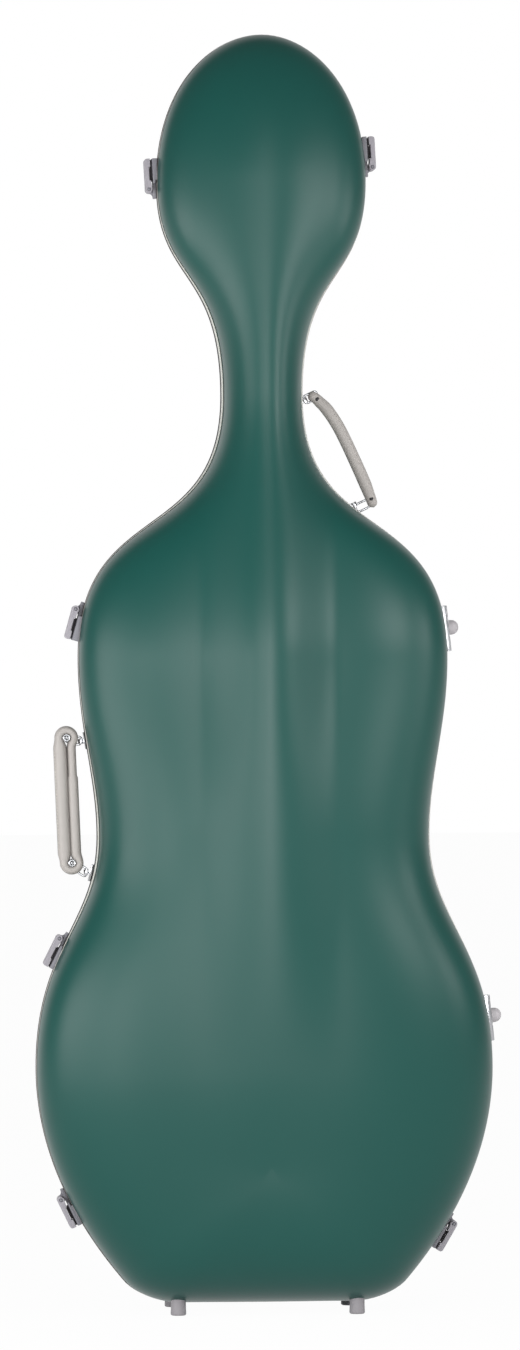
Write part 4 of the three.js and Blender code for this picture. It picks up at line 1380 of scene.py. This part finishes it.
@dataclass
class Feet(SubAssembly):
    """The feet under the base."""

    radius: float = 8.2 * MM
    edge: float = 2 * MM
    top: float = 21 * MM
    groove: float = 0.35 * MM
    crease_degrees: float = 50.0

    def build(self) -> None:
        """Builds all feet."""
        for body in (Body.LID.value, Body.BACK.value):
            for hand in ("left", "right"):
                node = f"{body}_foot_{hand}"
                low, high = map(np.array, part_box(node))
                place = Placement((low + high) / 2 * (ACROSS + DEPTH), ACROSS, DEPTH, UP)
                skin = revolve(self.profile(), place, columns=40)
                self.maker.build(f"{node}_stub", skin, body, Finish.FOOT, [node],
                                 self.crease_degrees)

    def profile(self) -> Array:
        """Gives the stub's profile: a flat tread, a rounded edge and a shallow waist.

        Returns:
            Pairs of radius and height.
        """
        r, e = self.radius, self.edge
        turn = np.linspace(0, QUARTER, 7)
        edge = np.column_stack([r - e + e * np.sin(turn), e - e * np.cos(turn)])
        rise = np.linspace(e, self.top, 12)[1:]
        waist = r - self.groove * np.sin(np.pi * (rise - e) / (self.top - e))
        return np.vstack([[0, 0], edge, np.column_stack([waist, rise]), [0, self.top]])


@dataclass
class SupportPads(SubAssembly):
    """The plush pads and the neck cradle that hold the instrument in the back shell."""

    nodes: tuple[str, ...] = ("base_pad_left", "base_pad_right", "shoulder_pad_left",
                              "shoulder_pad_right", "neck_cradle")
    edge: float = 5 * MM
    segments: int = 4
    fill: float = 0.8

    def build(self) -> None:
        """Builds the four pads and dresses the cradle."""
        for node in self.nodes:
            pad = self.maker.soften_node(node, Finish.PAD, self.edge, self.segments)


@dataclass(frozen=True)
class Dressing:
    """How a kind of fitting is dressed: its finish and the width of its rounded edges."""

    finish: Finish
    edge: float
    segments: int = 3


@dataclass
class Fittings(SubAssembly):
    """The latches, hinges, brackets and bow holders, dressed from the frame's nodes."""

    dressings: dict[str, Dressing] = field(default_factory=lambda: {
        "latch_lever": Dressing(Finish.LATCH, 1.1 * MM, 4),
        "latch_base": Dressing(Finish.LATCH_BASE, 0.5 * MM),
        "latch_keeper": Dressing(Finish.LATCH_BASE, 0.6 * MM),
        "hinge_": Dressing(Finish.STEEL, 0.3 * MM),
        "side_foot": Dressing(Finish.SIDE_FOOT, 0.5 * MM),
        "carry_handle_bracket": Dressing(Finish.STEEL, 0.35 * MM),
        "neck_handle_bracket": Dressing(Finish.STEEL, 0.35 * MM),
        "bow_boss": Dressing(Finish.PLASTIC, 0.6 * MM),
        "bow_toggle": Dressing(Finish.PLASTIC, 0.8 * MM),
        "bow_pocket": Dressing(Finish.LINING, 1.2 * MM),
    })

    def build(self) -> None:
        """Dresses every fitting."""
        for node in sorted(frame["nodes"]):
            found = [kind for kind in self.dressings if node.startswith(kind)]
            if found:
                way = self.dressings[found[0]]
                self.maker.soften_node(node, way.finish, way.edge, way.segments)


@dataclass
class LatchDetails(SubAssembly):
    """A latch's small parts: the painted shade line round the pivot eye, the pin's head, the
    seat, the soles.

    The seat is a dark strip of painted shade on the base plate that fills the gap under the
    closed lever, with a boss of painted shade that stands in the lever's slot. The soles fill the
    wedges between the straight latch and the curved edge. Runs go along the lever from its pivot,
    heights outwards from it, depths from the seam.
    """

    half_width: float = 10 * MM
    eye_radius: float = 3.5 * MM
    line: float = 0.4 * MM
    line_turns: Pair = (-78.0, -142.0)
    pin_radius: float = 1.5 * MM
    pin_proud: float = 0.7 * MM
    # the seat and its boss: dark painted shade in the gap and the slot under the closed lever
    shade_fill_run: Pair = (8.8 * MM, 31.4 * MM)
    shade_fill_heights: Pair = (-4.3 * MM, -2.55 * MM)
    shade_boss_run: Pair = (9.8 * MM, 22.9 * MM)
    shade_boss_heights: Pair = (-4.3 * MM, -1.15 * MM)
    shade_fill_depths: Pair = (1.8 * MM, 9.2 * MM)
    sole_run: Pair = (-9.2 * MM, 32 * MM)
    keeper_run: Pair = (9.9 * MM, 32 * MM)
    sole_heights: Pair = (-9.4 * MM, -5.6 * MM)
    sole_depths: Pair = (1.5 * MM, 9.8 * MM)
    keeper_depths: Pair = (-9.8 * MM, -1.5 * MM)

    def build(self) -> None:
        """Builds the details of all latches."""
        for joint in frame["joints"]:
            if joint["name"].startswith("lever_"):
                self.dress(joint)

    @staticmethod
    def directions(node: str, pivot: Array) -> tuple[Array, Array]:
        """Finds how a closed lever lies.

        The way out is the normal that the largest flat stretch of the lever's outer side has.

        Args:
            node: the lever's node.
            pivot: a point on its pin's axis.

        Returns:
            The direction along the lever and the way out from the case.
        """
        faces = frame["nodes"][node].data.polygons
        normals, areas = np.zeros(3 * len(faces)), np.zeros(len(faces))
        faces.foreach_get("normal", normals)
        faces.foreach_get("area", areas)
        normals = normals.reshape(-1, 3)
        steepest, parallel = 0.1, 0.9999
        level = (np.abs(normals[:, 1]) < steepest) & (normals[:, 0] * np.sign(pivot[0]) > 0)
        alike = normals @ normals.T > parallel
        weight = (alike * (areas * level)).sum(axis=1) * level
        out = unit(normals[np.argmax(weight)] * (ACROSS + UP))
        low, high = map(np.array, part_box(node))
        along = np.array([out[2], 0.0, -out[0]])
        return along * np.sign(along @ ((low + high) / 2 - pivot)), out

    def dress(self, joint: dict) -> None:
        """Builds one latch's painted shade line, pin head, seat and soles.

        The line is a dark tube of painted shade for the groove round the eye: it runs along an
        arc about the pivot, sunk to its middle in the lever's face.
        It starts at the gap under the lever and ends past the far side of the eye.

        Args:
            joint: the lever's joint.
        """
        lever, pivot = joint["child"], np.array(joint["pos_m"])
        along, out = self.directions(f"latch_{lever}", pivot)
        seam = pivot * (ACROSS + UP) + ORIGIN * DEPTH
        centre = seam - DEPTH * self.half_width
        turn = np.radians(np.linspace(*self.line_turns, 40))[:, None]
        path = centre + self.eye_radius * (along * np.cos(turn) + out * np.sin(turn))
        radius = np.full(len(path), self.line)
        radius[[0, -1]] = 0
        head = dome_profile(self.pin_radius, self.pin_proud, self.pin_proud, steps=7)
        base = Placement(seam, DEPTH, along, out)
        # painted shade: a dark strip and boss filling the gap and slot under the closed lever
        seat = join_skins([block(base, self.shade_fill_depths, self.shade_fill_run, self.shade_fill_heights),
                           block(base, self.shade_fill_depths, self.shade_boss_run, self.shade_boss_heights)])
        sole = block(base, self.sole_depths, self.sole_run, self.sole_heights)
        keeper = block(base, self.keeper_depths, self.keeper_run, self.sole_heights)
        line = tube(path, radius, DEPTH, columns=8)
        pin = revolve(head, Placement(centre, along, out, -DEPTH), columns=24)
        back, lid = Body.BACK.value, Body.LID.value
        for name, skin, body, finish in (
            # the pivot line and the seat are dark pieces of painted shade: the groove round the
            # eye, the gap and slot under the lever
            ("pivot_painted_shade", line, lever, Finish.PAINTED_LATCH_SHADE),
            ("pin_head", pin, back, Finish.LATCH_BASE),
            ("seat", seat, back, Finish.PAINTED_LATCH_SHADE),
            ("base_sole", sole, back, Finish.LATCH_BASE),
            ("keeper_sole", keeper, lid, Finish.LATCH_BASE),
        ):
            self.maker.build(f"{lever}_{name}", skin, body, finish)


@dataclass
class HingeRivets(SubAssembly):
    """The rivets that hold the hinge leaves to the rims, three to a leaf."""

    places: tuple[float, ...] = (-17.28 * MM, 0.0, 17.28 * MM)
    radius: float = 2.0 * MM
    height: float = 0.55 * MM
    dimple: float = 0.6 * MM
    dimple_floor: Pair = (0.7, 0.4)
    dimple_middle: float = 0.35
    leaf_top: float = 1.0 * MM
    depth: float = 6.2 * MM

    def build(self) -> None:
        """Builds the rivets of both hinges, one piece to a half."""
        joint = joint_named("lid_hinge")
        pin, axis = np.array(joint["pos_m"]), unit(np.array(joint["axis"]))
        out = np.array([axis[2], 0.0, -axis[0]])
        middles = [sum(corner.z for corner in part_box(f"hinge_pin_{place}")) / 2
                   for place in ("upper", "lower")]
        for side, body in ((-1, Body.LID.value), (1, Body.BACK.value)):
            leaf = pin + out * self.leaf_top + DEPTH * side * self.depth
            skins = [
                revolve(self.profile(), Placement(
                    leaf + axis * ((middle - pin[2]) / axis[2] + place), axis,
                    np.cross(out, axis), out), columns=20)
                for middle in middles for place in self.places
            ]
            self.maker.build(f"{body}_hinge_rivets", join_skins(skins), body, Finish.STEEL)

    def profile(self) -> Array:
        """Gives a rivet head's profile: a low dome with a dimple in the middle.

        Returns:
            Pairs of radius and height.
        """
        share = np.linspace(0, 1, 9)
        radius = self.dimple + (self.radius - self.dimple) * share
        dome = np.column_stack([radius, self.height * np.sqrt(np.clip(1 - share**2, 0, 1))])
        floor = np.array(self.dimple_floor) * [self.dimple, self.height]
        return np.vstack([[0, self.height * self.dimple_middle], floor, dome,
                          [self.radius, -self.height], [0, -self.height]])


# Stage, lights and camera


@dataclass(frozen=True)
class SoftBox:
    """A lamp: its turn from the front towards +X, its level, its size and its power in watts."""

    name: str
    turn_degrees: float
    level: float
    size: Pair
    power: float


@dataclass
class Studio:
    """The pale floor and backdrop, the soft lights and the camera."""

    pixel: float = 1.055 * MM
    image_size: tuple[int, int] = (520, 1350)
    middle_column: float = 262.5
    floor_row: float = 1311.0
    distance: float = 8.0
    sensor_height: float = 24.0
    clip_end: float = 200.0
    yaw_degrees: float = -4.0
    roll_degrees: float = -0.22
    sheet_half: float = 24.0
    floor_glow: float = 0.97
    backdrop_glow: float = 1.0
    dim_strength: float = 0.34
    lamp_distance: float = 2.2
    boxes: tuple[SoftBox, ...] = (
        SoftBox("side_box", -64, 0.62, (1.7, 0.75), 21.0),
        SoftBox("low_box", -32, 0.5, (0.6, 0.5), 8.0),
        SoftBox("front_box", -13, 0.75, (0.35, 0.6), 6.5),
        SoftBox("crest_box", 3, 0.7, (0.3, 0.8), 12.0),
        SoftBox("neck_box", 4, 1.6, (0.4, 0.3), 2.0),
        SoftBox("high_box", 42, 1.1, (0.7, 0.4), 12.0),
        SoftBox("far_box", 72, 0.95, (0.7, 0.45), 6.5),
    )

    def build(self) -> None:
        """Builds the world, the floor, the backdrop, the lights and the camera."""
        self.world()
        side, top = self.sheet_half, 2 * self.sheet_half
        floor = [(-side, -side, 0), (side, -side, 0), (side, side, 0), (-side, side, 0)]
        wall = [(-side, side, 0), (side, side, 0), (side, side, top), (-side, side, top)]
        self.sheet("floor", floor, self.floor_glow)
        self.sheet("backdrop", wall, self.backdrop_glow)
        self.lamps()
        self.camera()

    def world(self) -> None:
        """Makes a dim, even world."""
        world = bpy.data.worlds.new("studio")
        bpy.context.scene.world = world
        world.use_nodes = True
        tree = ShaderTree(world.node_tree)
        inputs = {"Color": (1, 1, 1), "Strength": self.dim_strength}
        light = tree.node("ShaderNodeBackground", None, inputs)
        tree.feed(tree.nodes.new("ShaderNodeOutputWorld").inputs["Surface"], light)

    def sheet(self, name: str, corners: Sequence[Triple], glow_share: float) -> None:
        """Makes a pale sheet that is white to the camera but for the object's shadow.

        Args:
            name: the sheet's name.
            corners: its four corners.
            glow_share: how much of its white doesn't depend on the light.
        """
        tree = ShaderTree.new(f"pale_{name}")
        tree.set(Base_Color=(0.9, 0.9, 0.9), Roughness=0.9, Specular_IOR_Level=0.1)
        glow = tree.node("ShaderNodeEmission", None, {"Color": (1, 1, 1), "Strength": 1.0})
        camera, glossy, through = (tree.node("ShaderNodeLightPath", output=f"Is {kind} Ray")
                                   for kind in ("Camera", "Glossy", "Transmission"))
        seen = camera.math("MAXIMUM", camera, camera.math("MAXIMUM", glossy, through))
        matte = Wire(tree, tree.shader.outputs[0])
        mix = {0: seen * glow_share, 1: matte, 2: glow}
        tree.feed(tree.output.inputs["Surface"], tree.node("ShaderNodeMixShader", None, mix))
        mesh = bpy.data.meshes.new(name)
        mesh.from_pydata(corners, [], [(0, 1, 2, 3)])
        mesh.materials.append(tree.material)
        linked(name, mesh)

    def lamps(self) -> None:
        """Hangs the soft boxes on a circle round the case, each facing its middle."""
        for box in self.boxes:
            data = bpy.data.lights.new(box.name, "AREA")
            data.shape = "RECTANGLE"
            data.size, data.size_y = box.size
            data.energy = box.power
            lamp = linked(box.name, data)
            lamp.visible_camera = False
            turn = math.radians(box.turn_degrees)
            away = Vector((math.sin(turn), -math.cos(turn), 0)) * self.lamp_distance
            lamp.location = away + Vector((0, 0, box.level))
            aim = Vector((0, 0, OUTLINE.height / 2)) - lamp.location
            lamp.rotation_euler = aim.to_track_quat("-Z", "Y").to_euler()

    def camera(self) -> None:
        """Sets the camera at the photograph's angle and framing."""
        width, height = self.image_size
        data = bpy.data.cameras.new("camera")
        data.sensor_fit = "VERTICAL"
        data.sensor_height = self.sensor_height
        data.lens = self.sensor_height * self.distance / (height * self.pixel)
        data.clip_end = self.clip_end
        camera = linked("camera", data)
        aim = Vector((ORIGIN[0] + (width / 2 - self.middle_column) * self.pixel, ORIGIN[1],
                      (self.floor_row - height / 2) * self.pixel))
        yaw = math.radians(self.yaw_degrees)
        camera.location = aim + self.distance * Vector((math.sin(yaw), -math.cos(yaw), 0))
        look = (aim - camera.location).to_track_quat("-Z", "Y").to_matrix()
        roll = Matrix.Rotation(math.radians(self.roll_degrees), 3, "Z")
        camera.rotation_euler = (look @ roll).to_euler()
        bpy.context.scene.camera = camera


def main() -> None:
    """Builds the studio and every piece of the case."""
    logging.basicConfig(level=logging.INFO, format="%(name)s %(message)s")
    bpy.context.scene.view_settings.view_transform = "Standard"
    Studio().build()
    maker = PieceMaker()
    ShellHalf(maker, LID, Body.LID).build()
    ShellHalf(maker, BACK, Body.BACK).build()
    for kind in (Seal, CarryHandle, NeckHandle, Feet, SupportPads, Fittings, LatchDetails,
                 HingeRivets):
        kind(maker).build()
    log.info("%d pieces made", maker.count)


if __name__ == "__main__":
    main()
